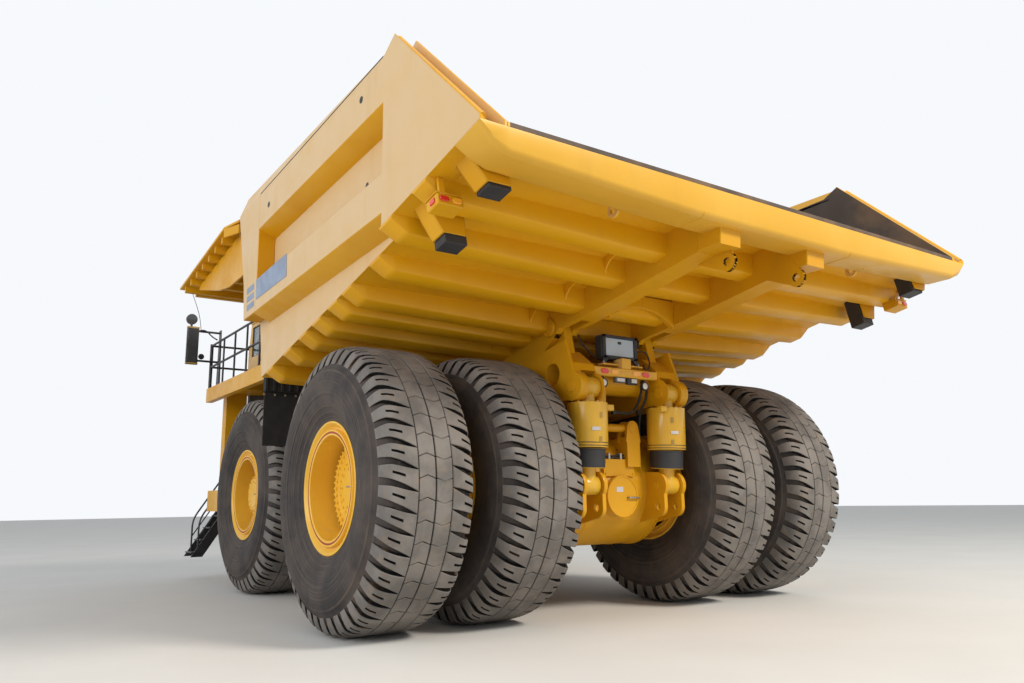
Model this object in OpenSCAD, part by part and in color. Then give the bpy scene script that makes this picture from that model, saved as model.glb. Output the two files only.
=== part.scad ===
/* [Overall] */
// Rear axle back to the tail of the bed
tail_reach = 4450; // [4400:10:4600]
// Rear axle forward to the front of the stairs
front_reach = 11150; // [11050:10:11400]
// Distance between the axles
wheelbase = 6450; // [6350:10:6500]

/* [Tyres and rims] */
// Outer radius of every tyre, and height of the hubs
tyre_r = 2000; // [1960:5:2020]
// Widest width of a tyre
tyre_w = 1470; // [1400:10:1500]
// Width of the flat tread
tread_w = 1230; // [1150:10:1260]
// Radius of the rim flanges
rim_r = 925; // [880:5:950]
// Distance from a tyre's middle to its rim flange's face
rim_half = 600; // [560:10:620]
// Truck's middle to the middle of a front tyre
front_tyre_x = 3150; // [3100:10:3200]
// Truck's middle to the middle of an inner rear tyre
inner_tyre_x = 2110; // [2090:10:2150]
// Distance between the middles of two dual tyres
dual_pitch = 1830; // [1700:10:1860]

/* [Bed] */
// Half of the bed's outer width
bed_half = 4840; // [4700:10:4860]
// Depth of the rails that stand out from the side sheets
rail_out = 300; // [240:10:320]
// Slope of the bed's floor
floor_slope = 12; // [11.5:0.1:12.2]
// Height of the floor's underside at its front corner
floor_z = 4010; // [3990:5:4040]
// Front corner of the floor, ahead of the rear axle
floor_front = 3000; // [2950:10:3050]
// Thickness of the floor and front plates
plate_t = 60; // [40:5:80]
// Thickness of the side sheets
sheet_t = 40; // [30:5:60]
// Width of the bed's two long rails
bed_rail_w = 400; // [360:5:400]
// Depth of the bed's two long rails
bed_rail_d = 600; // [560:10:620]
// Depth of the cross bolsters
bolster_d = 300; // [240:10:340]
// Width of the cross bolsters at the floor
bolster_w = 400; // [340:10:440]
// Half width of the canopy
canopy_half = 5000; // [4900:10:5050]
// Front edge of the canopy, ahead of the rear axle
canopy_front = 7810; // [7600:10:7900]

/* [Frame] */
// Middle of each frame rail and bed rail
rail_x = 900; // [880:5:920]
// Width of a frame rail
rail_w = 420; // [400:5:440]
// Height of the frame's underside ahead of the rear axle
frame_z = 2150; // [2100:10:2250]
// Height of the frame's top ahead of the bed
frame_top = 3300; // [3250:10:3330]
// Gap between the frame and the bed's rails, filled by pads
pad_t = 30; // [20:5:40]
// Radius of the hinge pins of the bed
hinge_pin_r = 100; // [80:5:110]
// Hinge pins behind the rear axle
hinge_y = 680; // [660:10:700]
// Height of the bed's hinge pins
hinge_z = 4530; // [4500:10:4550]

/* [Deck and cab] */
// Height of the deck's top
deck_z = 4600; // [4560:10:4650]
// Thickness of the deck
deck_t = 120; // [80:10:160]
// Half width of the deck
deck_half = 3850; // [3800:10:3900]
// Front edge of the deck, ahead of the rear axle
deck_front = 9600; // [9500:10:9700]
// Rear edge of the deck, ahead of the rear axle
deck_rear = 4750; // [4700:10:4850]
// Height of the handrails above the deck
rail_h = 1070; // [1000:10:1150]
// Radius of the handrail tubes
tube_r = 26; // [20:1:32]

/* [Lifting and towing] */
// Radius of the bores in the tow lugs
tow_r = 45; // [40:5:50]
// Radius of the bores in the bed's lifting eyes
eye_r = 60; // [50:5:70]

/* [Steering and hoist] */
// Truck's middle to each front strut, which is also the kingpin
kingpin_x = 1750; // [1740:5:1760]
// Radius of a front strut's barrel
strut_r = 330; // [300:5:340]
// Length of a steering arm, back from the kingpin
arm_len = 800; // [760:10:840]
// Truck's middle to each hoist cylinder
hoist_x = 1420; // [1410:5:1430]
// Foot pins of the hoist cylinders, ahead of the rear axle
hoist_foot_y = 2350; // [2340:5:2360]
// Height of the hoist cylinders' foot pins
hoist_foot_z = 1550; // [1500:10:1580]
// Height of the hoist cylinders' head pins
hoist_head_z = 3850; // [3830:10:3870]
// Radius of a hoist cylinder's barrel
hoist_r = 225; // [200:5:230]

/* [Hidden] */
$fn = 64;
rear_axle_y = (front_reach - tail_reach) / 2;
hub_z = tyre_r;
outer_tyre_x = inner_tyre_x + dual_pitch;
tail_y = tail_reach;
sheet_x = bed_half - rail_out;
inner_x = sheet_x - sheet_t;
run_gap = 0.3;
floor_len = (tail_y + floor_front) / cos(floor_slope);
// Height of the floor's underside, and of the bed rails' underside, at a distance y behind the rear axle
function floor_at(y) = floor_z + (y + floor_front) * tan(floor_slope);
function rail_at(y) = floor_at(y) - bed_rail_d;
// Heights of the side rails' edges, which rise to the rear
side_rise = 0.05;
function side_at(z, y) = z + side_rise * y;

// A side profile of [y, z] points, w wide, with its middle at x
module side(w, x = 0) {
    translate([x, 0, 0]) rotate([90, 0, 90]) linear_extrude(w, center = true) children();
}
// A shape drawn in [x, z], carried from y0 back to y1
module along(y0, y1) {
    translate([0, y1, 0]) rotate([90, 0, 0]) linear_extrude(y1 - y0) children();
}
// A round bar along x
module bar_x(r, x0, x1, y, z) {
    translate([x0, y, z]) rotate([0, 90, 0]) cylinder(r = r, h = x1 - x0);
}
// A round bar between two points
module bar(a, b, r) {
    d = b - a;
    translate(a) rotate([0, acos(d[2] / norm(d)), atan2(d[1], d[0])]) cylinder(r = r, h = norm(d));
}
// A block from its lowest to its highest corner
module block(a, b) { translate(a) cube(b - a); }
// The same thing on both sides of the truck
module both() { children(); mirror([1, 0, 0]) children(); }
// The bed floor's own frame: y runs up the slope and z is square to the floor
module on_floor() { translate([0, -floor_front, floor_z]) rotate([floor_slope, 0, 0]) children(); }
module placed() { translate([0, rear_axle_y, 0]) children(); }

yellow = [0.86, 0.58, 0.04];
black = [0.06, 0.06, 0.07];

// Frame: two box rails, cross tubes, strut mounts, hinge ears and the hoist pivots
ear_w = 160;
ear_r = 190;
frame_front = 9250;
strut_top_y = 1270;
strut_top_z = 3505;
rear_strut_x = 850;
strut_eye_w = 280;
module frame_profile(rear) {
    difference() {
        union() {
            polygon(concat([[-frame_front, frame_z], [-2900, frame_z], [-2150, 2450], [-1100, 3150], [800, 3290],
                [1360, 3310], [1470, 3420], [1470, 3560], [1330, 3700]], rear,
                [[-floor_front, rail_at(-floor_front) - pad_t], [-3650, frame_top], [-frame_front, frame_top]]));
            translate([strut_top_y, strut_top_z]) circle(r = 230);
        }
        translate([800, 3740]) circle(r = 180);
    }
}
// Behind the hinge the rails fall away, so that the bed's rails can swing down
rail_rear = [[1250, 3880], [hinge_y + 240, 4130], [hinge_y - 60, rail_at(hinge_y - 60) - pad_t]];
plate_rear = [[1120, rail_at(1120) - pad_t], [hinge_y - 60, rail_at(hinge_y - 60) - pad_t]];
plate_x = rail_x + rail_w / 2;
plate_w = 50;
plate_front = -1400;
nose_y = -2330;
nose_w = 520;
sway_x = [-290, 420];
sway_y = 930;
sway_z = 2930;
// Two ears square to the truck's length that hold an eye of the sway rod
module sway_ears(x, z_root) {
    for (y = [sway_y - 120, sway_y + 70]) along(y, y + 50) {
        translate([x, sway_z]) circle(r = 120);
        polygon([[x - 120, sway_z], [x + 120, sway_z], [x + 160, z_root], [x - 160, z_root]]);
    }
    translate([x, sway_y - 120, sway_z]) rotate([-90, 0, 0]) cylinder(r = 60, h = 240);
}
module frame() color(yellow) {
    both() {
        difference() {
            union() {
                side(rail_w, rail_x) frame_profile(rail_rear);
                side(plate_w, plate_x + plate_w / 2) intersection() {
                    frame_profile(plate_rear);
                    translate([plate_front, 2000]) square([4000, 3000]);
                }
            }
            bar_x(300, rear_strut_x - strut_eye_w / 2 - 10, rear_strut_x + strut_eye_w / 2 + 10, strut_top_y + 40, strut_top_z - 40);
            block([rear_strut_x - strut_eye_w / 2 - 10, 1000, 3000], [rear_strut_x + strut_eye_w / 2 + 10, 1600, strut_top_z]);
        }
        bar_x(90, rear_strut_x - strut_eye_w / 2 - 10, rear_strut_x + strut_eye_w / 2 + 10, strut_top_y, strut_top_z);
        // ear of the bed's hinge and its pin
        side(ear_w, rail_x) {
            translate([hinge_y, hinge_z]) circle(r = ear_r);
            polygon([[hinge_y - ear_r, hinge_z], [hinge_y + ear_r, hinge_z], [hinge_y + 300, 4050],
                [hinge_y - 420, rail_at(hinge_y - 420) - pad_t - 50]]);
        }
        bar_x(hinge_pin_r, rail_x - bed_rail_w / 2 + 5, rail_x + bed_rail_w / 2 - 5, hinge_y, hinge_z);
        // hoist pivot plates and pins
        side(80, rail_x + 60) polygon([[-hoist_foot_y - 450, frame_z + 60], [-hoist_foot_y - 180, hoist_foot_z - 130],
            [-hoist_foot_y + 180, hoist_foot_z - 130], [-hoist_foot_y + 300, frame_z + 400]]);
        bar_x(90, rail_x + 60, hoist_x + eye_half + 20, -hoist_foot_y, hoist_foot_z);
        // clamp around each front strut
        block([rail_x, -wheelbase - 260, 2550], [kingpin_x - strut_r - 20, -wheelbase + 260, 3200]);
        difference() {
            translate([kingpin_x, -wheelbase, 2550]) cylinder(r = strut_r + 90, h = 650);
            translate([kingpin_x, -wheelbase, 2500]) cylinder(r = strut_r + run_gap, h = 750);
        }
    }
    difference() {
        bar_x(260, -rail_x + rail_w / 2, rail_x - rail_w / 2, 800, 3740);
        bar_x(180, -rail_x, rail_x, 800, 3740);
    }
    for (c = [[-2650, 2560, 220], [-4600, 2700, 260]]) bar_x(c[2], -rail_x + rail_w / 2, rail_x - rail_w / 2, c[0], c[1]);
    block([-rail_x + rail_w / 2, -frame_front, frame_z + 100], [rail_x - rail_w / 2, -frame_front + 300, 2900]);
    // ears and pin that hold the nose of the rear axle
    both() side(90, nose_w / 2 + 60) {
        translate([nose_y, hub_z]) circle(r = 200);
        polygon([[nose_y - 190, hub_z + 60], [nose_y + 190, hub_z + 60], [-2480, 2600], [-2850, 2600]]);
    }
    bar_x(110, -nose_w / 2 - 60, nose_w / 2 + 60, nose_y, hub_z);
    sway_ears(sway_x[1], 3600);
}

// Front bumper: a wide beam with a low skid edge
bumper_half = 3500;
bumper_front = 10300;
tow_x = 1500;
tow_w = 100;
tow_z = 1300;
module bumper() color(yellow) {
    block([-bumper_half, -bumper_front, 1650], [bumper_half, -frame_front - 20, 2150]);
    difference() {
        side(3600) polygon([[-bumper_front, 1650], [-bumper_front, 1100], [-bumper_front + 250, 950], [-frame_front - 20, 950], [-frame_front - 20, 1650]]);
        block([-1300, -bumper_front - 10, 1050], [1300, -frame_front - 300, 1500]);
    }
    both() block([2950, -9560, 2150], [bumper_half - 60, -9260, deck_z - deck_t]);
    // tow lugs
    both() side(tow_w, tow_x) difference() {
        union() {
            translate([-bumper_front - 80, tow_z]) circle(r = 75);
            translate([-bumper_front - 80, tow_z - 75]) square([200, 150]);
        }
        translate([-bumper_front - 80, tow_z]) circle(r = tow_r);
    }
}

// Grille: the radiator's frame with rows of slats
grille_half = 1650;
module grille() color(black) {
    difference() {
        block([-grille_half, -bumper_front + 100, 2150], [grille_half, -frame_front, deck_z - deck_t]);
        block([-grille_half + 120, -bumper_front, 2290], [grille_half - 120, -bumper_front + 260, deck_z - deck_t - 140]);
    }
    for (z = [2340 : 130 : 4250]) block([-grille_half + 120, -bumper_front + 140, z], [grille_half - 120, -bumper_front + 200, z + 70]);
}

module engine() color([0.35, 0.36, 0.38])
    block([-rail_x + rail_w / 2, -8900, 2450], [rail_x - rail_w / 2, -5100, 4100]);

// Tanks hang outside the rails between the wheels
tank_y0 = -3480;
tank_y1 = -2160;
module tank_profile(top, bottom) {
    translate([(tank_y0 + tank_y1) / 2, (top + bottom) / 2])
        for (a = [0, 90]) rotate(a) square(a == 0 ? [tank_y1 - tank_y0, top - bottom - 300] : [top - bottom, tank_y1 - tank_y0 - 300], center = true);
    for (y = [tank_y0 + 150, tank_y1 - 150], z = [bottom + 150, top - 150]) translate([y, z]) circle(r = 150);
}
module fuel_tank() color(yellow) {
    side(1050, 2300) tank_profile(3100, 1150);
    block([rail_x + rail_w / 2, -3400, 2300], [1775, -2850, 2700]);
}
module hydraulic_tank() color(yellow) {
    side(1050, -2300) tank_profile(3100, 1350);
    block([-1775, -3400, 2300], [-rail_x - rail_w / 2, -2850, 2700]);
}

hood_front = bumper_front - 50;
// Deck: plate with edge beams, open above the engine's rear and shaped round the front strut towers
module deck() color(yellow) {
    block([-deck_half, -deck_front, deck_z - deck_t], [deck_half, -deck_rear, deck_z]);
    block([-grille_half, -hood_front, deck_z - deck_t], [grille_half, -deck_front, deck_z]);
    both() block([deck_half - 160, -deck_front, deck_z - 340], [deck_half, -deck_rear, deck_z - deck_t]);
    both() block([1150, -5300, frame_top], [1400, -4900, deck_z - deck_t]);
    both() block([plate_x, -5300, frame_top - 300], [1150, -4900, frame_top + 300]);
    for (y = [-deck_rear - 160, -7300]) both() block([1700, y, deck_z - 300], [deck_half - 160, y + 160, deck_z - deck_t]);
}

// Handrails round the deck's outer edges, with a knee rail
post_in = 60;
mirror_post_x = deck_half - 210;
mirror_y = -9400;
rail_posts = [-4850, -5750, -6650, -7550, -8450];
rail_front = -9540;
post_r = tube_r - 4;
corner_r = 40;
corner_gap = 28;
module handrails() color(black) {
    both() {
        for (y = rail_posts) translate([deck_half - post_in, y, deck_z]) cylinder(r = post_r, h = rail_h);
        for (x = [800, 1800]) translate([x, rail_front, deck_z]) cylinder(r = post_r, h = rail_h);
        translate([deck_half - post_in, rail_front, deck_z]) cylinder(r = corner_r, h = rail_h + corner_r);
        for (z = [deck_z + rail_h, deck_z + rail_h / 2]) {
            bar([deck_half - post_in, rail_front + corner_gap, z], [deck_half - post_in, rail_posts[0] + corner_r, z], tube_r);
            bar_x(tube_r, 800 - corner_r, deck_half - post_in - corner_gap, rail_front, z);
        }
        side(30, mirror_post_x) polygon([[mirror_y - 130, deck_z], [mirror_y + 130, deck_z], [mirror_y + 60, deck_z + 1450], [mirror_y - 60, deck_z + 1450]]);
    }
}

// Cab: hollow shell with window openings, and a door on its outer side
cab_x1 = deck_half - 850;
cab_x0 = cab_x1 - 1900;
cab_y0 = -9150;
cab_y1 = -7150;
cab_z1 = 6280;
wall = 60;
door_y0 = -8020;
door_y1 = -7320;
door_z0 = deck_z + 60;
door_z1 = 6140;
door_gap = 6;
hinge_r = 24;
module cab_shell() color(yellow) {
    difference() {
        side(cab_x1 - cab_x0, (cab_x0 + cab_x1) / 2) polygon([[cab_y0, deck_z], [cab_y1, deck_z], [cab_y1, cab_z1],
            [cab_y0 + 180, cab_z1], [cab_y0, 5500]]);
        side(cab_x1 - cab_x0 - 2 * wall, (cab_x0 + cab_x1) / 2) polygon([[cab_y0 + wall, deck_z + wall], [cab_y1 - wall, deck_z + wall],
            [cab_y1 - wall, cab_z1 - wall], [cab_y0 + 180 + wall, cab_z1 - wall], [cab_y0 + wall, 5500]]);
        block([cab_x0 + 130, cab_y0 - 100, 5420], [cab_x1 - 130, cab_y0 + 300, 6120]);
        block([cab_x0 + 200, cab_y1 - 200, 5350], [cab_x1 - 200, cab_y1 + 100, 6090]);
        block([cab_x0 - 100, cab_y0 + 260, 5350], [cab_x0 + 200, cab_y1 - 160, 6090]);
        block([cab_x1 - 200, cab_y0 + 260, 5350], [cab_x1 + 100, door_y0 - 120, 6090]);
        block([cab_x1 - 200, door_y0, door_z0], [cab_x1 + 100, door_y1, door_z1]);
    }
    // hinge pins and their lugs on the cab's side
    for (z = [4900, 5950]) {
        translate([cab_x1 + hinge_r, door_y1, z - 60]) cylinder(r = hinge_r / 2, h = 240);
        for (d = [-61, 121]) translate([cab_x1 + hinge_r, door_y1, z + d]) {
            cylinder(r = hinge_r, h = 60);
            block([-hinge_r, 0, 0], [0, 80, 60]);
        }
    }
}
module cab_door() color(yellow) {
    difference() {
        block([cab_x1 - wall, door_y0 + door_gap, door_z0 + door_gap], [cab_x1, door_y1 - door_gap, door_z1 - door_gap]);
        block([cab_x1 - 200, door_y0 + 110, 5350], [cab_x1 + 100, door_y1 - 110, door_z1 - 110]);
    }
    block([cab_x1, door_y0 + 60, 5100], [cab_x1 + 40, door_y0 + 90, 5320]);
    // hinge barrels along the rear edge
    for (z = [4900, 5950]) translate([cab_x1 + hinge_r, door_y1, z]) difference() {
        union() {
            cylinder(r = hinge_r, h = 120);
            block([-hinge_r, -80, 0], [0, 0, 120]);
        }
        translate([0, 0, -1]) cylinder(r = hinge_r / 2 + run_gap, h = 130);
    }
}
seat_x = cab_x0 + 1250;
module cab_seat() color(black) {
    block([seat_x - 200, -8150, deck_z + wall], [seat_x + 200, -7750, deck_z + 350]);
    block([seat_x - 260, -8250, deck_z + 350], [seat_x + 260, -7710, deck_z + 480]);
    side(520, seat_x) polygon([[-7710, deck_z + 350], [-7590, deck_z + 350], [-7500, 5750], [-7630, 5750]]);
}

// Electrical cabinets and the brake grid on the other side of the deck
cabinet_x = deck_half - 250;
module control_cabinet() color(yellow) {
    block([-cabinet_x, -8700, deck_z], [-1500, -7300, 6150]);
}
module grid_box() color(yellow) {
    block([-cabinet_x, -7150, deck_z], [-1500, -5200, 6100]);
}

// Air cleaners stand in front of the deck's supports
module air_cleaners() color(yellow) both() {
    for (x = [2050, 2600]) translate([x, -9560, 2150]) cylinder(r = 240, h = deck_z - deck_t - 2150);
}

// Stairs: stringers with treads, climbing across the front from the left foot to the deck
stair_w = 700;
stair_foot = [3500, 700];
stair_top_x = 900;
module stairs() color(black) {
    treads = 13;
    y0 = -front_reach;
    y1 = -front_reach + stair_w;
    rise = deck_z - stair_foot[1] - 100;
    for (y = [y0, y1 - 40]) along(y, y + 40)
        polygon([[stair_foot[0], stair_foot[1] - 150], [stair_foot[0] + 280, stair_foot[1] - 150],
            [stair_top_x + 280, stair_foot[1] + rise], [stair_top_x, stair_foot[1] + rise]]);
    for (i = [0 : treads]) translate([0, y0 + 40, 0]) {
        x = stair_foot[0] + (stair_top_x - stair_foot[0]) * i / treads;
        block([x + 20, 0, stair_foot[1] - 60 + rise * i / treads], [x + 260, stair_w - 80, stair_foot[1] - 30 + rise * i / treads]);
    }
    block([stair_top_x - 900, y0, deck_z - 140], [stair_top_x + 280, y1, deck_z - 100]);
    for (x = [stair_top_x - 800, stair_top_x - 100]) block([x, y1 - 5, deck_z - 130], [x + 80, -hood_front, deck_z - 40]);
    block([2600, y1 - 30, 1850], [2700, -bumper_front, 2050]);
}

// Mirrors on brackets beyond the deck's front corners
module mirrors() color(black) both() {
    block([mirror_post_x + 520, mirror_y - 40, 5150], [mirror_post_x + 790, mirror_y + 40, 6080]);
    translate([mirror_post_x + 700, mirror_y, 6260]) rotate([90, 0, 0]) cylinder(r = 130, h = 60, center = true);
    bar([mirror_post_x + 700, mirror_y, 6060], [mirror_post_x + 700, mirror_y, 6180], tube_r);
    for (z = [5250, 5980]) bar_x(tube_r, mirror_post_x + 15, mirror_post_x + 530, mirror_y, z);
}

strut_z = 2300;
// Front struts: barrels in the frame's clamps
module front_struts() color(yellow) both() {
    difference() {
        translate([kingpin_x, -wheelbase, strut_z]) cylinder(r = strut_r, h = 3750 - strut_z);
        translate([kingpin_x, -wheelbase, 2200]) cylinder(r = kingpin_r + run_gap, h = 1000);
    }
}

kingpin_r = 200;
// Knuckle: kingpin, spindle towards the wheel, and the steering arm
spindle_end = front_tyre_x + 350;
tie_z = 1550;
tie_pin_r = 60;
module knuckle() {
    translate([kingpin_x, -wheelbase, 1500]) cylinder(r = kingpin_r, h = 1500);
    translate([kingpin_x, -wheelbase, 1500]) cylinder(r = 340, h = strut_z - run_gap - 1500);
    bar_x(260, kingpin_x, spindle_end, -wheelbase, hub_z);
    translate([kingpin_x, -wheelbase, 0]) {
        difference() {
            union() {
                translate([0, arm_len, tie_z - 50]) cylinder(r = 130, h = 100);
                block([-110, 0, tie_z - 50], [110, arm_len, tie_z + 50]);
            }
            translate([0, arm_len, tie_z - 60]) cylinder(r = tie_pin_r + run_gap, h = 120);
        }
    }
}
module tie_rod() color(yellow) {
    translate([0, -wheelbase + arm_len, 0]) {
        bar_x(70, -kingpin_x + 60, kingpin_x - 60, 0, tie_z + 130);
        both() {
            translate([kingpin_x, 0, tie_z + 55]) cylinder(r = 110, h = 150);
            translate([kingpin_x, 0, tie_z - 50]) cylinder(r = tie_pin_r, h = 120);
        }
    }
}

// A tyre's section as [radius, half width] and its solid, turning about x
bead_r = rim_r - 90;
module tyre(x) {
    translate([x, 0, hub_z]) rotate([0, 90, 0]) rotate_extrude($fn = 96) {
        polygon([[bead_r, -rim_half + 60], [rim_r, -rim_half + 40], [rim_r + 60, -rim_half + 10], [rim_r + 300, -tyre_w / 2 + 20], [rim_r + 500, -tyre_w / 2],
            [tyre_r - 350, -tyre_w / 2 + 30], [tyre_r - 90, -tread_w / 2 - 20], [tyre_r, -tread_w / 2 + 60],
            [tyre_r, tread_w / 2 - 60], [tyre_r - 90, tread_w / 2 + 20], [tyre_r - 350, tyre_w / 2 - 30],
            [rim_r + 500, tyre_w / 2], [rim_r + 300, tyre_w / 2 - 20], [rim_r + 60, rim_half - 10], [rim_r, rim_half - 40], [bead_r, rim_half - 60]]);
    }
}
// A rim: barrel with two flanges, a disc at disc_x and a hub
rim_bore = 720;
module rim_ring(x) {
    translate([x, 0, hub_z]) rotate([0, 90, 0]) rotate_extrude($fn = 96)
        polygon([[rim_bore, -rim_half], [rim_r, -rim_half], [rim_r, -rim_half + 30], [bead_r, -rim_half + 50],
            [bead_r, rim_half - 50], [rim_r, rim_half - 30], [rim_r, rim_half], [rim_bore, rim_half]]);
}
module front_rim() color(yellow) {
    rim_ring(front_tyre_x);
    difference() {
        union() {
            bar_x(rim_bore, front_tyre_x - 330, front_tyre_x - 250, 0, hub_z);
            bar_x(420, front_tyre_x - 480, front_tyre_x + 420, 0, hub_z);
        }
        bar_x(260 + run_gap, front_tyre_x - 500, spindle_end + 6, 0, hub_z);
    }
}
module rear_rims() color(yellow) {
    rim_ring(inner_tyre_x);
    rim_ring(outer_tyre_x);
    difference() {
        union() {
            bar_x(rim_bore, outer_tyre_x - 60, outer_tyre_x + 40, 0, hub_z);
            bar_x(rim_bore, inner_tyre_x + rim_half, outer_tyre_x - rim_half, 0, hub_z);
            bar_x(480, outer_tyre_x - 60, outer_tyre_x + 220, 0, hub_z);
        }
        bar_x(motor_r + run_gap, inner_tyre_x, outer_tyre_x - 120, 0, hub_z);
    }
}

// Rear axle: banjo drum, wheel motor tubes, nose, strut brackets, hatch and cross rod
axle_r = 965;
motor_r = 620;
strut_low_y = 1200;
strut_low_z = 2000;
bracket_gap = 320;
module axle_housing() color(yellow) {
    translate([0, 0, hub_z]) rotate([0, 90, 0]) rotate_extrude($fn = 96)
        polygon([[0, -outer_tyre_x + 140], [motor_r, -outer_tyre_x + 140], [motor_r, -1450], [760, -1350], [axle_r - 60, -1080],
            [axle_r, -1000], [axle_r, 1000], [axle_r - 60, 1080], [760, 1350], [motor_r, 1450],
            [motor_r, outer_tyre_x - 140], [0, outer_tyre_x - 140]]);
    difference() {
        union() {
            translate([0, -2250, hub_z]) rotate([-90, 0, 0]) cylinder(r1 = 190, r2 = 560, h = 1600);
            bar_x(200, -nose_w / 2 + 10, nose_w / 2 - 10, nose_y, hub_z);
        }
        bar_x(110 + run_gap, -nose_w, nose_w, nose_y, hub_z);
    }
    translate([0, 0, 1830]) rotate([-90, 0, 0]) cylinder(r = 325, h = 1060);
    block([-330, 700, 2150], [330, 1000, 2420]);
    both() for (x = [rear_strut_x - bracket_gap / 2 - 35, rear_strut_x + bracket_gap / 2 + 35]) side(70, x) difference() {
        union() {
            translate([strut_low_y, strut_low_z]) circle(r = 210);
            translate([strut_low_y, 1660]) circle(r = 160);
            polygon([[500, 2600], [780, 2480], [840, 2240], [strut_low_y + 60, strut_low_z + 200], [strut_low_y + 160, strut_low_z],
                [strut_low_y + 160, 1660], [strut_low_y, 1500], [500, 1350]]);
        }
        translate([strut_low_y, 1660]) circle(r = 60);
    }
    both() bar_x(85, rear_strut_x - bracket_gap / 2, rear_strut_x + bracket_gap / 2, strut_low_y, strut_low_z);
    block([sway_x[0] - 140, 400, 2600], [sway_x[0] + 140, sway_y - 80, 2760]);
    block([sway_x[0] - 140, sway_y - 120, 2300], [sway_x[0] + 140, sway_y + 120, 2780]);
    sway_ears(sway_x[0], 2700);
}

// Sway rod across the truck, from the axle to the frame
module sway_rod() color(yellow) difference() {
    union() {
        for (x = sway_x) translate([x, sway_y - 68, sway_z]) rotate([-90, 0, 0]) cylinder(r = 110, h = 136);
        bar_x(65, sway_x[0], sway_x[1], sway_y, sway_z);
    }
    for (x = sway_x) translate([x, sway_y - 200, sway_z]) rotate([-90, 0, 0]) cylinder(r = 60 + run_gap, h = 400);
}

// Rear struts: eye, neck, barrel, dust cover, lower eye
module rear_struts() both() {
    difference() {
        union() {
            bar_x(170, rear_strut_x - strut_eye_w / 2, rear_strut_x + strut_eye_w / 2, strut_top_y, strut_top_z);
            bar([rear_strut_x, strut_top_y - 10, 3250], [rear_strut_x, strut_top_y, strut_top_z], 120);
            color(yellow) bar([rear_strut_x, strut_low_y + 40, 2570], [rear_strut_x, strut_top_y - 10, 3255], 315);
            color(black) bar([rear_strut_x, strut_low_y + 15, 2270], [rear_strut_x, strut_low_y + 40, 2570], 270);
            bar([rear_strut_x, strut_low_y, strut_low_z], [rear_strut_x, strut_low_y + 15, 2280], 130);
            bar_x(150, rear_strut_x - bracket_gap / 2 + 10, rear_strut_x + bracket_gap / 2 - 10, strut_low_y, strut_low_z);
        }
        bar_x(90 + run_gap, rear_strut_x - 200, rear_strut_x + 200, strut_top_y, strut_top_z);
        bar_x(85 + run_gap, rear_strut_x - 200, rear_strut_x + 200, strut_low_y, strut_low_z);
    }
}

// Lamp bar and service box between the frame's ears
module rear_lamp_bar() {
    color(yellow) block([-rail_x + rail_w / 2, 1180, 3720], [rail_x - rail_w / 2, 1280, 3860]);
    color(yellow) block([-100, 1070, 3860], [100, 1280, 4030]);
    color(black) block([-380, 930, 4030], [380, 1120, 4430]);
}

flap_y = -4050;
// Rubber flaps behind the front tyres, on arms from the deck's rear edge
module mud_flaps() color(black) both() {
    block([2920, flap_y, 2850], [4200, flap_y + 30, 3860]);
    block([2920, flap_y - 60, 3860], [4200, flap_y + 90, 4220]);
    for (x = [2950, 3400]) block([x, -deck_rear, 4100], [x + 120, flap_y - 60, 4220]);
    for (x = [2950, 3400]) block([x, -deck_rear, 4220], [x + 120, -deck_rear + 120, deck_z]);
}

eye_half = 130;
// Hoist cylinders stand square: foot pin, barrel, middle stage and rod
hoist_len = hoist_head_z - hoist_foot_z;
stage_r = 175;
rod_r = 125;
module hoist_barrel() color(yellow) translate([hoist_x, -hoist_foot_y, hoist_foot_z]) {
    difference() {
        union() {
            bar_x(180, -eye_half, eye_half, 0, 0);
            translate([0, 0, 110]) cylinder(r = hoist_r, h = hoist_len - 550);
        }
        bar_x(90 + run_gap, -200, 200, 0, 0);
        translate([0, 0, 260]) cylinder(r = stage_r + run_gap, h = hoist_len);
    }
}
module hoist_stage() color([0.7, 0.7, 0.72]) translate([hoist_x, -hoist_foot_y, hoist_foot_z]) difference() {
    translate([0, 0, 270]) cylinder(r = stage_r, h = hoist_len - 620);
    translate([0, 0, 300]) cylinder(r = rod_r + run_gap, h = hoist_len);
}
module hoist_rod() color([0.75, 0.75, 0.77]) translate([hoist_x, -hoist_foot_y, hoist_foot_z]) {
    translate([0, 0, 310]) cylinder(r = rod_r, h = hoist_len - 380);
    bar_x(170, -eye_half, eye_half, 0, hoist_len);
    bar_x(80, eye_half - 10, eye_half + 25, 0, hoist_len);
}

// Bed floor plate between the side sheets
front_top_y = -3960;
front_top_z = 7030;
front_foot_y = -3165;
module bed_floor() color(yellow) side(2 * inner_x)
    polygon([[-floor_front, floor_at(-floor_front)], [tail_y, floor_at(tail_y)], [tail_y, floor_at(tail_y) + plate_t],
        [-floor_front, floor_at(-floor_front) + plate_t]]);

// Cross bolsters under the floor, with sloping ends, broken at the long rails
bolster_at = [3300, 2300, 1450, 600, -80, -700, -1300, -1900, -2750];
module bed_bolsters() color(yellow) on_floor() difference() {
    intersection() {
        for (y = bolster_at) translate([0, (y + floor_front) / cos(floor_slope), 0]) side(2 * sheet_x)
            polygon([[-bolster_w / 2, 0], [bolster_w / 2, 0], [bolster_w / 2 - 50, -bolster_d], [-bolster_w / 2 + 50, -bolster_d]]);
        along(0, floor_len) polygon([[-sheet_x, 0], [sheet_x, 0], [sheet_x - bolster_d - 40, -bolster_d - 20], [-sheet_x + bolster_d + 40, -bolster_d - 20]]);
    }
    both() block([rail_x - bed_rail_w / 2 - run_gap, -100, -bed_rail_d], [rail_x + bed_rail_w / 2 + run_gap, floor_len + 100, 1]);
}

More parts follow.
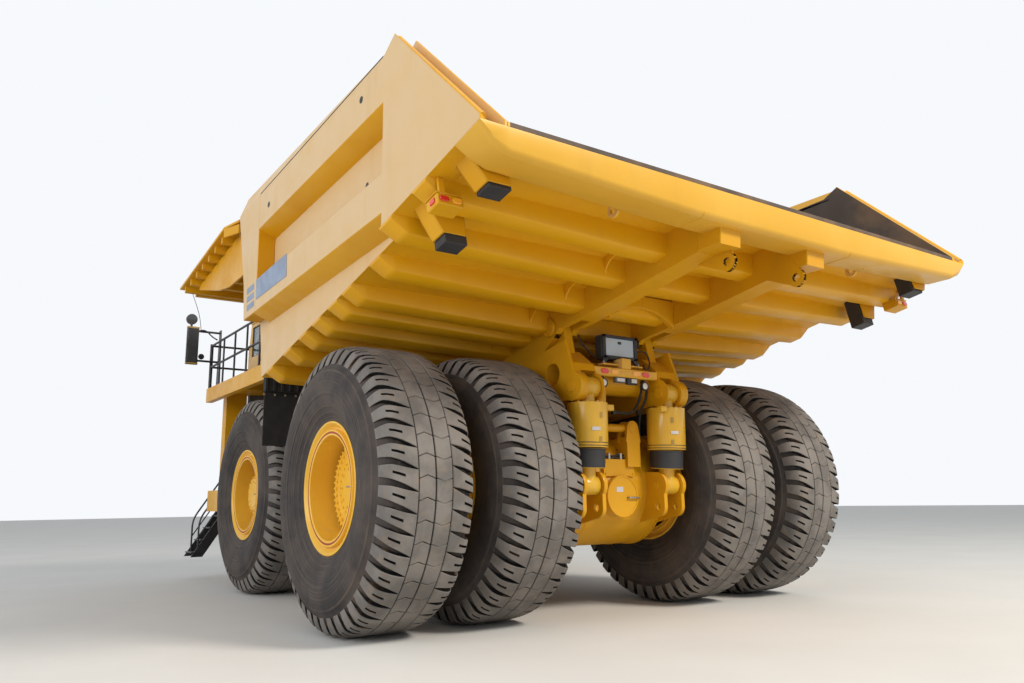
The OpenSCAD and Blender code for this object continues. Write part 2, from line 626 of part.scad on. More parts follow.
// Long rails under the floor: they straddle the frame's ears at the hinge, and rest on pads ahead of it
boss_r = 200;
lift_x = 730;
lift_w = 60;
lift_y = 4080;
lift_z = 4830;
module bed_rails() color(yellow) both() {
    difference() {
        union() {
            side(bed_rail_w, rail_x) {
                polygon([[-floor_front, floor_at(-floor_front)], [3900, floor_at(3900)], [3900, floor_at(3900) - 520],
                    [1600, 4570], [hinge_y + 250, 4480], [hinge_y - 150, rail_at(hinge_y - 150)], [-floor_front, rail_at(-floor_front)]]);
                translate([hinge_y, hinge_z]) circle(r = boss_r);
            }
            // bracket and pin at the hoist's head
            side(60, rail_x + bed_rail_w / 2 + 30) polygon([[-hoist_foot_y - 160, floor_at(-hoist_foot_y - 160)], [-hoist_foot_y - 110, hoist_head_z - 120],
                [-hoist_foot_y + 110, hoist_head_z - 120], [-hoist_foot_y + 160, floor_at(-hoist_foot_y + 160)]]);
            bar_x(80, rail_x, hoist_x - eye_half - run_gap, -hoist_foot_y, hoist_head_z);
        }
        side(ear_w + 20, rail_x) translate([hinge_y, hinge_z])
            polygon([[-560, -700], [680, -700], [680, 160], [200, 225], [-200, 225], [-560, 60]]);
        bar_x(hinge_pin_r + run_gap, 0, 2000, hinge_y, hinge_z);
    }
    // lifting eyes behind the rails
    side(lift_w, lift_x) difference() {
        union() {
            translate([lift_y, lift_z]) circle(r = 130);
            polygon([[3600, 4900], [lift_y - 90, lift_z - 95], [lift_y + 125, lift_z + 40], [3900, 5300], [3600, 5300]]);
        }
        translate([lift_y, lift_z]) circle(r = eye_r);
    }
    for (y = [-2950 : 700 : -850]) side(bed_rail_w - 40, rail_x) polygon([[y, rail_at(y)], [y + 450, rail_at(y + 450)],
        [y + 450, rail_at(y + 450) - pad_t + run_gap], [y, rail_at(y) - pad_t + run_gap]]);
}

// Side wall: sheet, top rail, lower band, front post and the closed rear panel with its round edge
peak_y = 2480;
peak_z = 7580;
panel_y = 2180;
post_y0 = -3480;
post_y1 = -2730;
top_rail_z = 7310;
top_rail_h = 660;
band_z = 5770;
band_h = 600;
post_foot = [-3380, side_at(band_z - band_h, -3380)];
post_kink = [post_y0, 5670];
post_top = [-3950, side_at(top_rail_z, -3950)];
module bed_side() color(yellow) {
    side(sheet_t, sheet_x - sheet_t / 2) polygon([[front_foot_y, floor_at(front_foot_y)], [tail_y, floor_at(tail_y)],
        [tail_y, floor_at(tail_y) + 60], [peak_y, peak_z - 60], [panel_y, side_at(top_rail_z, panel_y)], post_top, post_kink, post_foot]);
    along_x(top_rail_z - top_rail_h, top_rail_z);
    along_x(band_z - band_h, band_z);
    side(rail_out, sheet_x + rail_out / 2) polygon([post_foot, [post_y1, side_at(band_z - band_h, post_y1)],
        [post_y1, side_at(top_rail_z, post_y1)], post_top, post_kink]);
    side(rail_out, sheet_x + rail_out / 2) polygon([[panel_y, floor_at(panel_y)], [tail_y, floor_at(tail_y)],
        [tail_y, floor_at(tail_y) + 60], [peak_y, peak_z], [panel_y, side_at(top_rail_z, panel_y)]]);
}
module along_x(z0, z1) side(rail_out, sheet_x + rail_out / 2)
    polygon([[post_y0, side_at(z0, post_y0)], [panel_y, side_at(z0, panel_y)], [panel_y, side_at(z1, panel_y)], [post_y0, side_at(z1, post_y0)]]);

// Front wall, leaning forward to the canopy
module bed_front() color(yellow) {
    side(2 * inner_x) polygon([[front_foot_y, floor_at(front_foot_y)], [-floor_front, floor_at(-floor_front)],
        [-floor_front, floor_at(-floor_front) + plate_t], [front_foot_y + 80, floor_at(-floor_front) + plate_t],
        [front_top_y + 80, front_top_z], [front_top_y, front_top_z]]);
    for (x = [-3700, -2200, 0, 2200, 3700]) side(160, x) polygon([[front_foot_y, floor_at(front_foot_y)],
        [front_top_y, front_top_z], [front_top_y - 60, front_top_z - 120], [front_foot_y - 150, floor_at(front_foot_y)]]);
}

// Canopy over the cab and deck, with cross ribs and long gussets
canopy_rise = 0.125;
canopy_t = 50;
function canopy_at(y) = front_top_z + (y - front_top_y) * canopy_rise;
module canopy() color(yellow) {
    side(2 * canopy_half) polygon([[-canopy_front, canopy_at(-canopy_front)], [front_top_y, front_top_z],
        [front_top_y, front_top_z + canopy_t], [-canopy_front, canopy_at(-canopy_front) + canopy_t]]);
    // flange on the top of the front wall
    block([-inner_x, front_top_y - 10, front_top_z], [inner_x, front_top_y + 80, front_top_z + canopy_t]);
    for (i = [0 : 7]) {
        y = front_top_y - 350 - i * 470;
        side(2 * canopy_half - 200) polygon([[y, canopy_at(y)], [y + 90, canopy_at(y + 90)], [y + 90, canopy_at(y + 90) - 140], [y, canopy_at(y) - 140]]);
    }
}

module tail_beam() color(yellow) side(2 * inner_x)
    polygon([[3950, floor_at(3950)], [tail_y, floor_at(tail_y)], [tail_y - 20, floor_at(tail_y) - 260], [4100, floor_at(4100) - 280]]);

// Exhaust boxes under the bed's rear corners, with an open outlet, and the lamps beside them
box_y0 = 3520;
box_y1 = 3930;
box_w = 350;
module exhaust_boxes() color(yellow) both() difference() {
    side(box_w, bed_half - 535) polygon([[box_y0, floor_at(box_y0)], [box_y1, floor_at(box_y1)], [box_y1, 4780], [box_y0, 4740]]);
    block([bed_half - 680, box_y1 - 250, 4800], [bed_half - 390, box_y1 + 10, 5220]);
}
module tail_lamps() color(black) both() block([bed_half - 360, box_y0 + 60, 4950], [bed_half - 300, box_y0 + 340, 5150]);

placed() frame();
placed() bumper();
placed() grille();
placed() engine();
placed() fuel_tank();
placed() hydraulic_tank();
placed() deck();
placed() handrails();
placed() cab_shell();
placed() cab_door();
placed() cab_seat();
placed() control_cabinet();
placed() grid_box();
placed() air_cleaners();
placed() stairs();
placed() mirrors();
placed() front_struts();
placed() color(yellow) knuckle();  // knuckle_left
placed() color(yellow) mirror([1, 0, 0]) knuckle();  // knuckle_right
placed() tie_rod();
placed() color(black) translate([0, -wheelbase, 0]) tyre(front_tyre_x);  // front_tyre_left
placed() color(black) translate([0, -wheelbase, 0]) tyre(-front_tyre_x);  // front_tyre_right
placed() translate([0, -wheelbase, 0]) front_rim();  // front_rim_left
placed() translate([0, -wheelbase, 0]) mirror([1, 0, 0]) front_rim();  // front_rim_right
placed() axle_housing();
placed() sway_rod();
placed() rear_struts();
placed() color(black) { tyre(inner_tyre_x); tyre(outer_tyre_x); }  // rear_tyres_left
placed() color(black) { tyre(-inner_tyre_x); tyre(-outer_tyre_x); }  // rear_tyres_right
placed() rear_rims();  // rear_rims_left
placed() mirror([1, 0, 0]) rear_rims();  // rear_rims_right
placed() rear_lamp_bar();
placed() mud_flaps();
placed() hoist_barrel();  // hoist_barrel_left
placed() mirror([1, 0, 0]) hoist_barrel();  // hoist_barrel_right
placed() hoist_stage();  // hoist_stage_left
placed() mirror([1, 0, 0]) hoist_stage();  // hoist_stage_right
placed() hoist_rod();  // hoist_rod_left
placed() mirror([1, 0, 0]) hoist_rod();  // hoist_rod_right
placed() bed_floor();
placed() bed_bolsters();
placed() bed_rails();
placed() bed_side();  // bed_side_left
placed() mirror([1, 0, 0]) bed_side();  // bed_side_right
placed() bed_front();
placed() canopy();
placed() tail_beam();
placed() exhaust_boxes();
placed() tail_lamps();
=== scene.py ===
"""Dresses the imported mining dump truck: paint, tyre treads, bolts, lamps and fittings.

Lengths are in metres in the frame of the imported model: +Y to the tail, +X to the truck's left, +Z up.
"""
from __future__ import annotations

import logging
import math
from dataclasses import dataclass, field
from enum import Enum
from typing import Sequence

import bmesh
import bpy
import numpy as np
from mathutils import Matrix, Vector


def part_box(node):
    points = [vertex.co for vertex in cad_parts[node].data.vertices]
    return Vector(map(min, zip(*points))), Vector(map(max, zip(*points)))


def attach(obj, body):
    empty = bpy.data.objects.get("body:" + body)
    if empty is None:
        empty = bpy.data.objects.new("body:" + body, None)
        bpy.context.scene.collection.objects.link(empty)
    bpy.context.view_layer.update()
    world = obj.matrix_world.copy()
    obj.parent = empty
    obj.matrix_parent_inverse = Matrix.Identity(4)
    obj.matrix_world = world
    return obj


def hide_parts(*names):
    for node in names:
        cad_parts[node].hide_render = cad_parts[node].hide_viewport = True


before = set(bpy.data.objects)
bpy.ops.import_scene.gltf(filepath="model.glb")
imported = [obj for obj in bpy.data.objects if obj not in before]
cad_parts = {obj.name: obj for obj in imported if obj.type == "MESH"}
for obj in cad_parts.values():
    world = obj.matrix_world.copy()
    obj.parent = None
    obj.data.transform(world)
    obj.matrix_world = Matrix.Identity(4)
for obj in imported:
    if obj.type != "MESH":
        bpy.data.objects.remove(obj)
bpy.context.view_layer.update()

LOG = logging.getLogger("truck")

Array = np.ndarray
Colour = tuple[float, float, float]
Point = tuple[float, float, float]
Profile = tuple[tuple[float, float], ...]
Material = bpy.types.Material
Socket = bpy.types.NodeSocket

# Places are measured from the rear axle's line, which lies at AXLE_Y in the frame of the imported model
AXLE_Y = sum(corner[1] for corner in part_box("rear_tyres_left")) / 2
FRONT_Y = sum(corner[1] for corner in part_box("front_tyre_left")) / 2
WHEELBASE = AXLE_Y - FRONT_Y
HUB_Z = 2.0
X_AXIS = (1.0, 0.0, 0.0)
Y_AXIS = (0.0, 1.0, 0.0)
Z_AXIS = (0.0, 0.0, 1.0)
# Doubles closer than this are merged
MERGE_DISTANCE = 2e-5


class Side(Enum):
    """Left or right of the truck, as the sign of x."""

    LEFT = 1
    RIGHT = -1


class Coords(Enum):
    """What a pattern follows: the piece's own space, or the way its faces are turned."""

    OBJECT = "Object"
    NORMAL = "Normal"


# ---------------------------------------------------------------- shapes


@dataclass
class Form:
    """Points of one shape, and its faces in groups with the same number of corners."""

    points: Array
    faces: list[Array]

    def moved(self, by: Sequence[float]) -> Form:
        """The same shape, moved."""
        return Form(self.points + np.asarray(by, float), self.faces)

    def mirrored(self) -> Form:
        """The same shape on the truck's other side."""
        return Form(self.points * (-1.0, 1.0, 1.0), [f[:, ::-1] for f in self.faces])


def joined(forms: Sequence[Form]) -> Form:
    """Several shapes as one.

    Args:
        forms: The shapes.

    Returns:
        One shape with all their points and faces.
    """
    starts = np.cumsum([0] + [len(f.points) for f in forms[:-1]])
    return Form(np.concatenate([f.points for f in forms]),
                [face + start for f, start in zip(forms, starts) for face in f.faces])


def grid(points: Array, wrap_rows: bool = False, wrap_columns: bool = False, caps: bool = False) -> Form:
    """Quads between the neighbouring points of an (n, m, 3) grid.

    Args:
        points: The grid.
        wrap_rows: Joins the last row to the first.
        wrap_columns: Joins the last column to the first.
        caps: Closes the first and the last row with one face each.

    Returns:
        The shape.
    """
    n, m = points.shape[:2]
    i, j = np.meshgrid(np.arange(n - (not wrap_rows)), np.arange(m - (not wrap_columns)), indexing="ij")
    i2, j2 = (i + 1) % n, (j + 1) % m
    faces = [np.stack([i * m + j, i * m + j2, i2 * m + j2, i2 * m + j], -1).reshape(-1, 4)]
    if caps:
        faces.append(np.stack([np.arange(m)[::-1], (n - 1) * m + np.arange(m)]))
    return Form(points.reshape(-1, 3), faces)


def unit(vectors: Array) -> Array:
    """Vectors scaled to a length of 1."""
    return vectors / np.linalg.norm(vectors, axis=-1, keepdims=True)


def basis(axes: Array | Sequence[float]) -> Array:
    """Finds a frame for each axis.

    Args:
        axes: One direction, or one in each row.

    Returns:
        Two unit vectors square to each axis and the axis itself, as the rows of (n, 3, 3).
    """
    w = unit(np.atleast_2d(np.asarray(axes, float)))
    helper = np.where(np.abs(w[:, 2:3]) > 0.9, [Y_AXIS], [Z_AXIS])
    u = unit(np.cross(helper, w))
    return np.stack([u, np.cross(w, u), w], 1)


def revolve(profile: Sequence[Sequence[float]], axis: Sequence[float] = Z_AXIS,
            origin: Sequence[float] = (0.0, 0.0, 0.0), segments: int = 48, loop: bool = False) -> Form:
    """Carries [along, radius] pairs round an axis: origin + along w + radius (cos a u + sin a v).

    Args:
        profile: Rows of distance along the axis and radius.
        axis: Direction of the axis.
        origin: A point on the axis.
        segments: Steps round the axis.
        loop: Joins the profile's end to its start, as for a ring.

    Returns:
        The shape.
    """
    along, radius = np.asarray(profile, float).T
    angle = np.arange(segments) * 2 * math.pi / segments
    u, v, w = basis(axis)[0]
    ring = np.cos(angle)[:, None] * u + np.sin(angle)[:, None] * v
    points = np.asarray(origin, float) + along[:, None, None] * w + radius[:, None, None] * ring
    return grid(points, wrap_rows=loop, wrap_columns=True)


def tube(path: Sequence[Sequence[float]] | Array, radius: float, sides: int = 10, closed: bool = False) -> Form:
    """A round bar along a path: point + radius (cos a n + sin a b), with n and b square to the path.

    Args:
        path: Points along the bar's middle.
        radius: The bar's radius.
        sides: Steps round the bar.
        closed: The path is a ring.

    Returns:
        The shape, with closed ends.
    """
    p = np.asarray(path, float)
    along = np.roll(p, -1, 0) - np.roll(p, 1, 0) if closed else np.gradient(p, axis=0)
    tangent = unit(along)
    n = unit(np.cross(tangent, np.linalg.svd(tangent)[2][2]))
    b = np.cross(tangent, n)
    angle = np.arange(sides)[:, None] * 2 * math.pi / sides
    rings = p[:, None] + radius * (np.cos(angle) * n[:, None] + np.sin(angle) * b[:, None])
    return grid(rings, wrap_rows=closed, wrap_columns=True, caps=not closed)


def rounded(corners: Sequence[Sequence[float]], radius: float, steps: int = 6) -> Array:
    """A path with its corners rounded: each corner C becomes (1-s)^2 A + 2 s (1-s) C + s^2 B.

    A and B lie on the corner's two legs, at the radius or at a share of the leg.

    Args:
        corners: The path's corners.
        radius: How far from a corner its bend starts.
        steps: Points on each bend.

    Returns:
        The path's points.
    """
    most = 0.45
    c = np.asarray(corners, float)
    before, at, after = c[:-2], c[1:-1], c[2:]
    to_a, to_b = before - at, after - at
    len_a, len_b = np.linalg.norm(to_a, axis=1), np.linalg.norm(to_b, axis=1)
    a = at + to_a * (np.minimum(radius / len_a, most))[:, None]
    b = at + to_b * (np.minimum(radius / len_b, most))[:, None]
    s = np.linspace(0, 1, steps)[None, :, None]
    bends = (1 - s) ** 2 * a[:, None] + 2 * s * (1 - s) * at[:, None] + s ** 2 * b[:, None]
    return np.concatenate([c[:1], bends.reshape(-1, 3), c[-1:]])


SIGNS = np.array([[x, y, z] for x in (-1, 1) for y in (-1, 1) for z in (-1, 1)], float)


def block(low: Sequence[float], high: Sequence[float], chamfer: float = 0.01) -> Form:
    """A box with chamfered edges: for each axis, the eight corners pulled in along the other two.

    Args:
        low: Lowest corner.
        high: Highest corner.
        chamfer: Width of the chamfer.

    Returns:
        The shape, with 26 faces.
    """
    half = (np.asarray(high, float) - np.asarray(low, float)) / 2
    middle = (np.asarray(high, float) + np.asarray(low, float)) / 2
    inner = half - min(chamfer, half.min() * 0.8)
    points = np.concatenate([SIGNS * np.where(np.arange(3) == k, half, inner) for k in range(3)])
    index = {tuple(s): i for i, s in enumerate(SIGNS.astype(int).tolist())}

    def corner(k: int, signs: Sequence[int]) -> int:
        """Number of the corner that is full along axis k."""
        return 8 * k + index[tuple(signs)]

    quads: list[list[int]] = []
    for k in range(3):
        a, b = (k + 1) % 3, (k + 2) % 3
        for s in (-1, 1):
            ring = []
            for sa, sb in ((-1, -1), (1, -1), (1, 1), (-1, 1)):
                signs = [0, 0, 0]
                signs[k], signs[a], signs[b] = s, sa, sb
                ring.append(corner(k, signs))
            quads.append(ring if s > 0 else ring[::-1])
        for sa in (-1, 1):
            for sb in (-1, 1):
                ends = []
                for s in (-1, 1):
                    signs = [0, 0, 0]
                    signs[k], signs[a], signs[b] = s, sa, sb
                    ends.append((corner(a, signs), corner(b, signs)))
                quads.append([ends[0][0], ends[0][1], ends[1][1], ends[1][0]])
    tris = [[corner(k, s) for k in range(3)] for s in SIGNS.astype(int).tolist()]
    return Form(points + middle, [np.array(quads), np.array(tris)])


def plate(outline: Sequence[Sequence[float]], depth: float, origin: Sequence[float], right: Sequence[float],
          up: Sequence[float], chamfer: float = 0.004) -> Form:
    """A flat plate: its outline at four depths, the first and last drawn in by the chamfer.

    Args:
        outline: Points [right, up], anticlockwise.
        depth: Thickness along right x up.
        origin: Where the outline's [0, 0] is.
        right: Direction of the outline's first axis.
        up: Direction of its second axis.
        chamfer: Width of the chamfer.

    Returns:
        The closed shape.
    """
    p = np.asarray(outline, float)
    edge = unit(np.roll(p, -1, 0) - p)
    inward = np.stack([-edge[:, 1], edge[:, 0]], 1)
    before = np.roll(inward, 1, 0)
    pull = (inward + before) / (1 + (inward * before).sum(1, keepdims=True))
    rows = np.stack([p + pull * chamfer, p, p, p + pull * chamfer])
    depths = np.array([0, chamfer, depth - chamfer, depth])
    x, y = unit(np.asarray(right, float)), unit(np.asarray(up, float))
    points = (np.asarray(origin, float) + rows[..., :1] * x + rows[..., 1:] * y
              + depths[:, None, None] * np.cross(x, y))
    return grid(points, wrap_columns=True, caps=True)


def loft(sections: Sequence[Sequence[Sequence[float]]]) -> Form:
    """Straight faces between sections with the same number of points, closed at both ends."""
    return grid(np.asarray(sections, float), wrap_columns=True, caps=True)


def scatter(form: Form, places: Array | Sequence[Sequence[float]], axes: Array | Sequence[float]) -> Form:
    """A copy of a shape drawn about +Z at each place, turned to each axis.

    Args:
        form: The shape.
        places: Where its origin goes.
        axes: Where its +Z points, one for all copies or one for each.

    Returns:
        All the copies as one shape.
    """
    places = np.atleast_2d(np.asarray(places, float))
    turn = np.broadcast_to(basis(axes), (len(places), 3, 3))
    points = np.einsum("pk,nkc->npc", form.points, turn) + places[:, None]
    starts = np.arange(len(places)) * len(form.points)
    return Form(points.reshape(-1, 3),
                [(f[None] + starts[:, None, None]).reshape(-1, f.shape[1]) for f in form.faces])


def circle(radius: float, count: int, middle: Sequence[float], axis: Sequence[float], turn: float = 0.0) -> Array:
    """Points evenly round a circle: middle + radius (cos a u + sin a v).

    Args:
        radius: The circle's radius.
        count: Number of points.
        middle: The circle's middle.
        axis: Direction square to the circle.
        turn: Start of the first point, in steps.

    Returns:
        The points.
    """
    angle = (np.arange(count)[:, None] + turn) * 2 * math.pi / count
    u, v, _ = basis(axis)[0]
    return np.asarray(middle, float) + radius * (np.cos(angle) * u + np.sin(angle) * v)


def bolt(radius: float, height: float) -> Form:
    """A hexagonal head on a round washer, standing on the origin along +Z.

    Args:
        radius: From the head's middle to its corners.
        height: Height of the head.

    Returns:
        The shape.
    """
    head = [[height, 0.0], [height, radius * 0.84], [height * 0.86, radius], [0.0, radius], [0.0, 0.0]]
    washer = [[height * 0.18, 0.0], [height * 0.18, radius * 1.3], [0.0, radius * 1.36], [0.0, 0.0]]
    return joined([revolve(head, segments=6), revolve(washer, segments=12)])


def disc(radius: float, height: float, chamfer: float = 0.006, segments: int = 32) -> Form:
    """A round plate with a chamfered rim, standing on the origin along +Z."""
    return revolve([[0.0, 0.0], [0.0, radius], [height - chamfer, radius], [height, radius - chamfer], [height, 0.0]],
                   segments=segments)


def lens(x: float, half_w: float, y: float, z: float, half_h: float = 0.034) -> Form:
    """A lamp lens that faces the rear: a circle pulled apart by the sign of its cosine.

    Args:
        x: Middle across the truck.
        half_w: Half width.
        y: Back of the lens.
        z: Middle height.
        half_h: Half height, which is the radius of its ends.

    Returns:
        The shape.
    """
    steps, depth, chamfer = 24, 0.022, 0.006
    turn = (np.arange(steps) + 0.5) * 2 * math.pi / steps
    across = np.cos(turn) * half_h + np.sign(np.cos(turn)) * (half_w - half_h)
    outline = np.stack([across, half_h * np.sin(turn)], 1)
    return plate(outline, depth, (x, y, z), (-1.0, 0, 0), Z_AXIS, chamfer)


def patch(middle: Sequence[float], radius: float, angles: tuple[float, float], heights: tuple[float, float],
          depth: float) -> Form:
    """A thin curved plate on an upright cylinder: middle + r (cos a, sin a) at two depths and two heights.

    Args:
        middle: The cylinder's axis as [x, y].
        radius: The cylinder's radius.
        angles: First and last angle in degrees.
        heights: Lower and upper edge.
        depth: How far the plate reaches in and out of the cylinder.

    Returns:
        The closed shape.
    """
    turn = np.radians(np.linspace(*angles, 7))[:, None]
    r = radius + depth * np.array([-1.0, 1.0, 1.0, -1.0])
    z = np.array(heights)[[0, 0, 1, 1]]
    rows = np.broadcast_arrays(middle[0] + r * np.cos(turn), middle[1] + r * np.sin(turn), z)
    return grid(np.stack(rows, -1), wrap_columns=True, caps=True)


def pad(low: Sequence[float], high: Sequence[float], power: float = 0.32) -> Form:
    """A crowned cushion: a superellipsoid, with x, y and z the signed powers of its sines and cosines.

    Its sides pull in between the corners by a share of the sine of twice the angle.

    Args:
        low: Lowest corner of its box.
        high: Highest corner.
        power: Squareness of the outline; 1 is round.

    Returns:
        The closed shape.
    """
    rows, columns, crown, pulled = 16, 40, 0.75, 0.04
    low, high = np.asarray(low, float), np.asarray(high, float)
    v = np.linspace(-math.pi / 2, math.pi / 2, rows)[:, None]
    u = (np.arange(columns) * 2 * math.pi / columns)[None]

    def bent(value: Array, e: float) -> Array:
        """A signed power."""
        return np.sign(value) * np.abs(value) ** e

    pull = 1 - pulled + pulled * np.abs(np.sin(2 * u))
    x = bent(np.cos(v), power * 1.6) * bent(np.cos(u), power) * pull
    y = bent(np.cos(v), power * 1.6) * bent(np.sin(u), power) * pull
    z = np.broadcast_to(bent(np.sin(v), crown), x.shape)
    return grid(np.stack([x, y, z], -1) * (high - low) / 2 + (high + low) / 2, wrap_columns=True)


class Piece:
    """One visible object as it is put together from shapes, each in its own material."""

    def __init__(self, name: str, material: Material) -> None:
        """Starts an empty piece.

        Args:
            name: The piece's name.
            material: What its shapes are made of where nothing else is said.
        """
        self.name = name
        self.materials = [material]
        self.points: list[Array] = []
        self.faces: list[tuple[Array, int]] = []
        self.count = 0

    def add(self, form: Form, material: Material | None = None) -> Piece:
        """Adds one shape.

        Args:
            form: The shape.
            material: Its material, if it isn't the piece's first.

        Returns:
            The piece itself.
        """
        if material and material not in self.materials:
            self.materials.append(material)
        slot = self.materials.index(material) if material else 0
        self.points.append(form.points)
        self.faces += [(f + self.count, slot) for f in form.faces if len(f)]
        self.count += len(form.points)
        return self

    def both(self, form: Form, material: Material | None = None) -> Piece:
        """Adds one shape on both sides of the truck."""
        return self.add(form, material).add(form.mirrored(), material)

    def build(self, body: str, sharp: float = 32.0) -> bpy.types.Object:
        """Makes the object, merges its doubles, turns its faces outwards and lets it ride on a body.

        Args:
            body: The body that carries the piece.
            sharp: Edges sharper than this many degrees stay crisp.

        Returns:
            The object.
        """
        mesh = bpy.data.meshes.new(self.name)
        points = np.concatenate(self.points) + (0.0, AXLE_Y, 0.0)
        sizes = np.concatenate([np.full(len(f), f.shape[1]) for f, _ in self.faces])
        corners = np.concatenate([f.ravel() for f, _ in self.faces])
        mesh.vertices.add(len(points))
        mesh.vertices.foreach_set("co", points.astype(np.float32).ravel())
        mesh.loops.add(len(corners))
        mesh.loops.foreach_set("vertex_index", corners.astype(np.int32))
        mesh.polygons.add(len(sizes))
        mesh.polygons.foreach_set("loop_start", (np.cumsum(sizes) - sizes).astype(np.int32))
        mesh.polygons.foreach_set("material_index",
                                  np.concatenate([np.full(len(f), s) for f, s in self.faces]).astype(np.int32))
        mesh.update(calc_edges=True)
        shell = bmesh.new()
        shell.from_mesh(mesh)
        bmesh.ops.remove_doubles(shell, verts=shell.verts, dist=MERGE_DISTANCE)
        bmesh.ops.recalc_face_normals(shell, faces=shell.faces)
        shell.to_mesh(mesh)
        shell.free()
        mesh.shade_smooth()
        mesh.set_sharp_from_angle(angle=math.radians(sharp))
        for material in self.materials:
            mesh.materials.append(material)
        piece = bpy.data.objects.new(self.name, mesh)
        bpy.context.scene.collection.objects.link(piece)
        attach(piece, body)
        LOG.info("%s: %d faces on %s", self.name, len(mesh.polygons), body)
        return piece


# ---------------------------------------------------------------- materials


class Graph:
    """Short calls for building one material's node tree."""

    def __init__(self, name: str) -> None:
        """Starts an empty material with a principled shader.

        Args:
            name: The material's name.
        """
        self.material = bpy.data.materials.new(name)
        self.material.use_nodes = True
        self.tree = self.material.node_tree
        self.tree.nodes.clear()
        self.output = self.add("ShaderNodeOutputMaterial")
        self.shader = self.add("ShaderNodeBsdfPrincipled")
        self.link(self.shader.outputs["BSDF"], self.output.inputs["Surface"])
        self.coords = self.add("ShaderNodeTexCoord")

    def add(self, kind: str, **settings: object) -> bpy.types.Node:
        """Adds a node and sets its properties.

        Args:
            kind: Blender's name for the node.
            settings: Its properties.

        Returns:
            The node.
        """
        node = self.tree.nodes.new(kind)
        for key, value in settings.items():
            setattr(node, key, value)
        return node

    def link(self, source: Socket, target: Socket) -> None:
        """Joins two sockets."""
        self.tree.links.new(source, target)

    def place(self, shift: Point = (0.0, 0.0, 0.0), stretch: Point = (1.0, 1.0, 1.0)) -> Socket:
        """The piece's own coordinates, moved and stretched.

        Args:
            shift: Added to each axis.
            stretch: Factor for each axis.

        Returns:
            The vector socket.
        """
        mapping = self.add("ShaderNodeMapping")
        mapping.inputs["Location"].default_value = shift
        mapping.inputs["Scale"].default_value = stretch
        self.link(self.coords.outputs[Coords.OBJECT.value], mapping.inputs["Vector"])
        return mapping.outputs["Vector"]

    def noise(self, scale: float, detail: float = 4.0, stretch: Point = (1.0, 1.0, 1.0), rough: float = 0.55) -> Socket:
        """Fractal noise on the piece's own coordinates.

        Args:
            scale: Blobs per metre.
            detail: Octaves.
            stretch: Scale of the pattern along each axis.
            rough: Share of fine octaves.

        Returns:
            The noise's value socket, from 0 to 1.
        """
        node = self.add("ShaderNodeTexNoise")
        node.inputs["Scale"].default_value = scale
        node.inputs["Detail"].default_value = detail
        node.inputs["Roughness"].default_value = rough
        self.link(self.place(stretch=stretch), node.inputs["Vector"])
        return node.outputs["Fac"]

    def ramp(self, value: Socket, low: float, high: float, out: tuple[float, float] = (0.0, 1.0)) -> Socket:
        """Maps a value from low..high to out with a smooth step, held at both ends.

        Args:
            value: The value.
            low: Where the step starts.
            high: Where it ends.
            out: Results at the start and the end.

        Returns:
            The result's socket.
        """
        node = self.add("ShaderNodeMapRange", interpolation_type="SMOOTHSTEP")
        for key, number in (("From Min", low), ("From Max", high), ("To Min", out[0]), ("To Max", out[1])):
            node.inputs[key].default_value = number
        self.link(value, node.inputs["Value"])
        return node.outputs["Result"]

    def math(self, kind: str, a: Socket | float, b: Socket | float = 0.0) -> Socket:
        """One arithmetic step.

        Args:
            kind: Blender's name for the operation.
            a: First value.
            b: Second value.

        Returns:
            The result's socket.
        """
        node = self.add("ShaderNodeMath", operation=kind)
        for socket, value in ((node.inputs[0], a), (node.inputs[1], b)):
            if isinstance(value, bpy.types.NodeSocket):
                self.link(value, socket)
            else:
                socket.default_value = value
        return node.outputs[0]

    def mix(self, factor: Socket, a: Socket | Colour, b: Socket | Colour) -> Socket:
        """Blends two colours.

        Args:
            factor: Share of the second colour.
            a: First colour.
            b: Second colour.

        Returns:
            The result's socket.
        """
        node = self.add("ShaderNodeMix", data_type="RGBA", clamp_factor=True)
        self.link(factor, node.inputs["Factor"])
        for socket, value in ((node.inputs[6], a), (node.inputs[7], b)):
            if isinstance(value, bpy.types.NodeSocket):
                self.link(value, socket)
            else:
                socket.default_value = (*value, 1.0)
        return node.outputs[2]

    def axis(self, name: str, coords: Coords = Coords.OBJECT) -> Socket:
        """One of the coordinates.

        Args:
            name: X, Y or Z.
            coords: Which coordinates.

        Returns:
            The value's socket.
        """
        node = self.add("ShaderNodeSeparateXYZ")
        self.link(self.coords.outputs[coords.value], node.inputs[0])
        return node.outputs[name]

    def radius(self, middle_y: float, middle_z: float) -> Socket:
        """Distance from a line along X: the root of (y - middle)^2 + (z - middle)^2.

        Args:
            middle_y: The line's y.
            middle_z: The line's z.

        Returns:
            The distance's socket.
        """
        node = self.add("ShaderNodeSeparateXYZ")
        self.link(self.place((0.0, -middle_y, -middle_z)), node.inputs[0])
        squares = [self.math("MULTIPLY", node.outputs[k], node.outputs[k]) for k in ("Y", "Z")]
        return self.math("SQRT", self.math("ADD", *squares))

    def bump(self, height: Socket, strength: float, distance: float) -> None:
        """Roughens the shader's normal.

        Args:
            height: The height's socket.
            strength: Share of the effect.
            distance: Height of the bumps in metres.
        """
        node = self.add("ShaderNodeBump")
        node.inputs["Strength"].default_value = strength
        node.inputs["Distance"].default_value = distance
        self.link(height, node.inputs["Height"])
        self.link(node.outputs["Normal"], self.shader.inputs["Normal"])

    def set(self, **values: object) -> None:
        """Sets uniform values on the shader's own sockets; an underscore stands for a space."""
        for key, value in values.items():
            self.shader.inputs[key.replace("_", " ")].default_value = value


def darker(colour: Colour, share: float) -> Colour:
    """A colour times a share."""
    return tuple(c * share for c in colour)


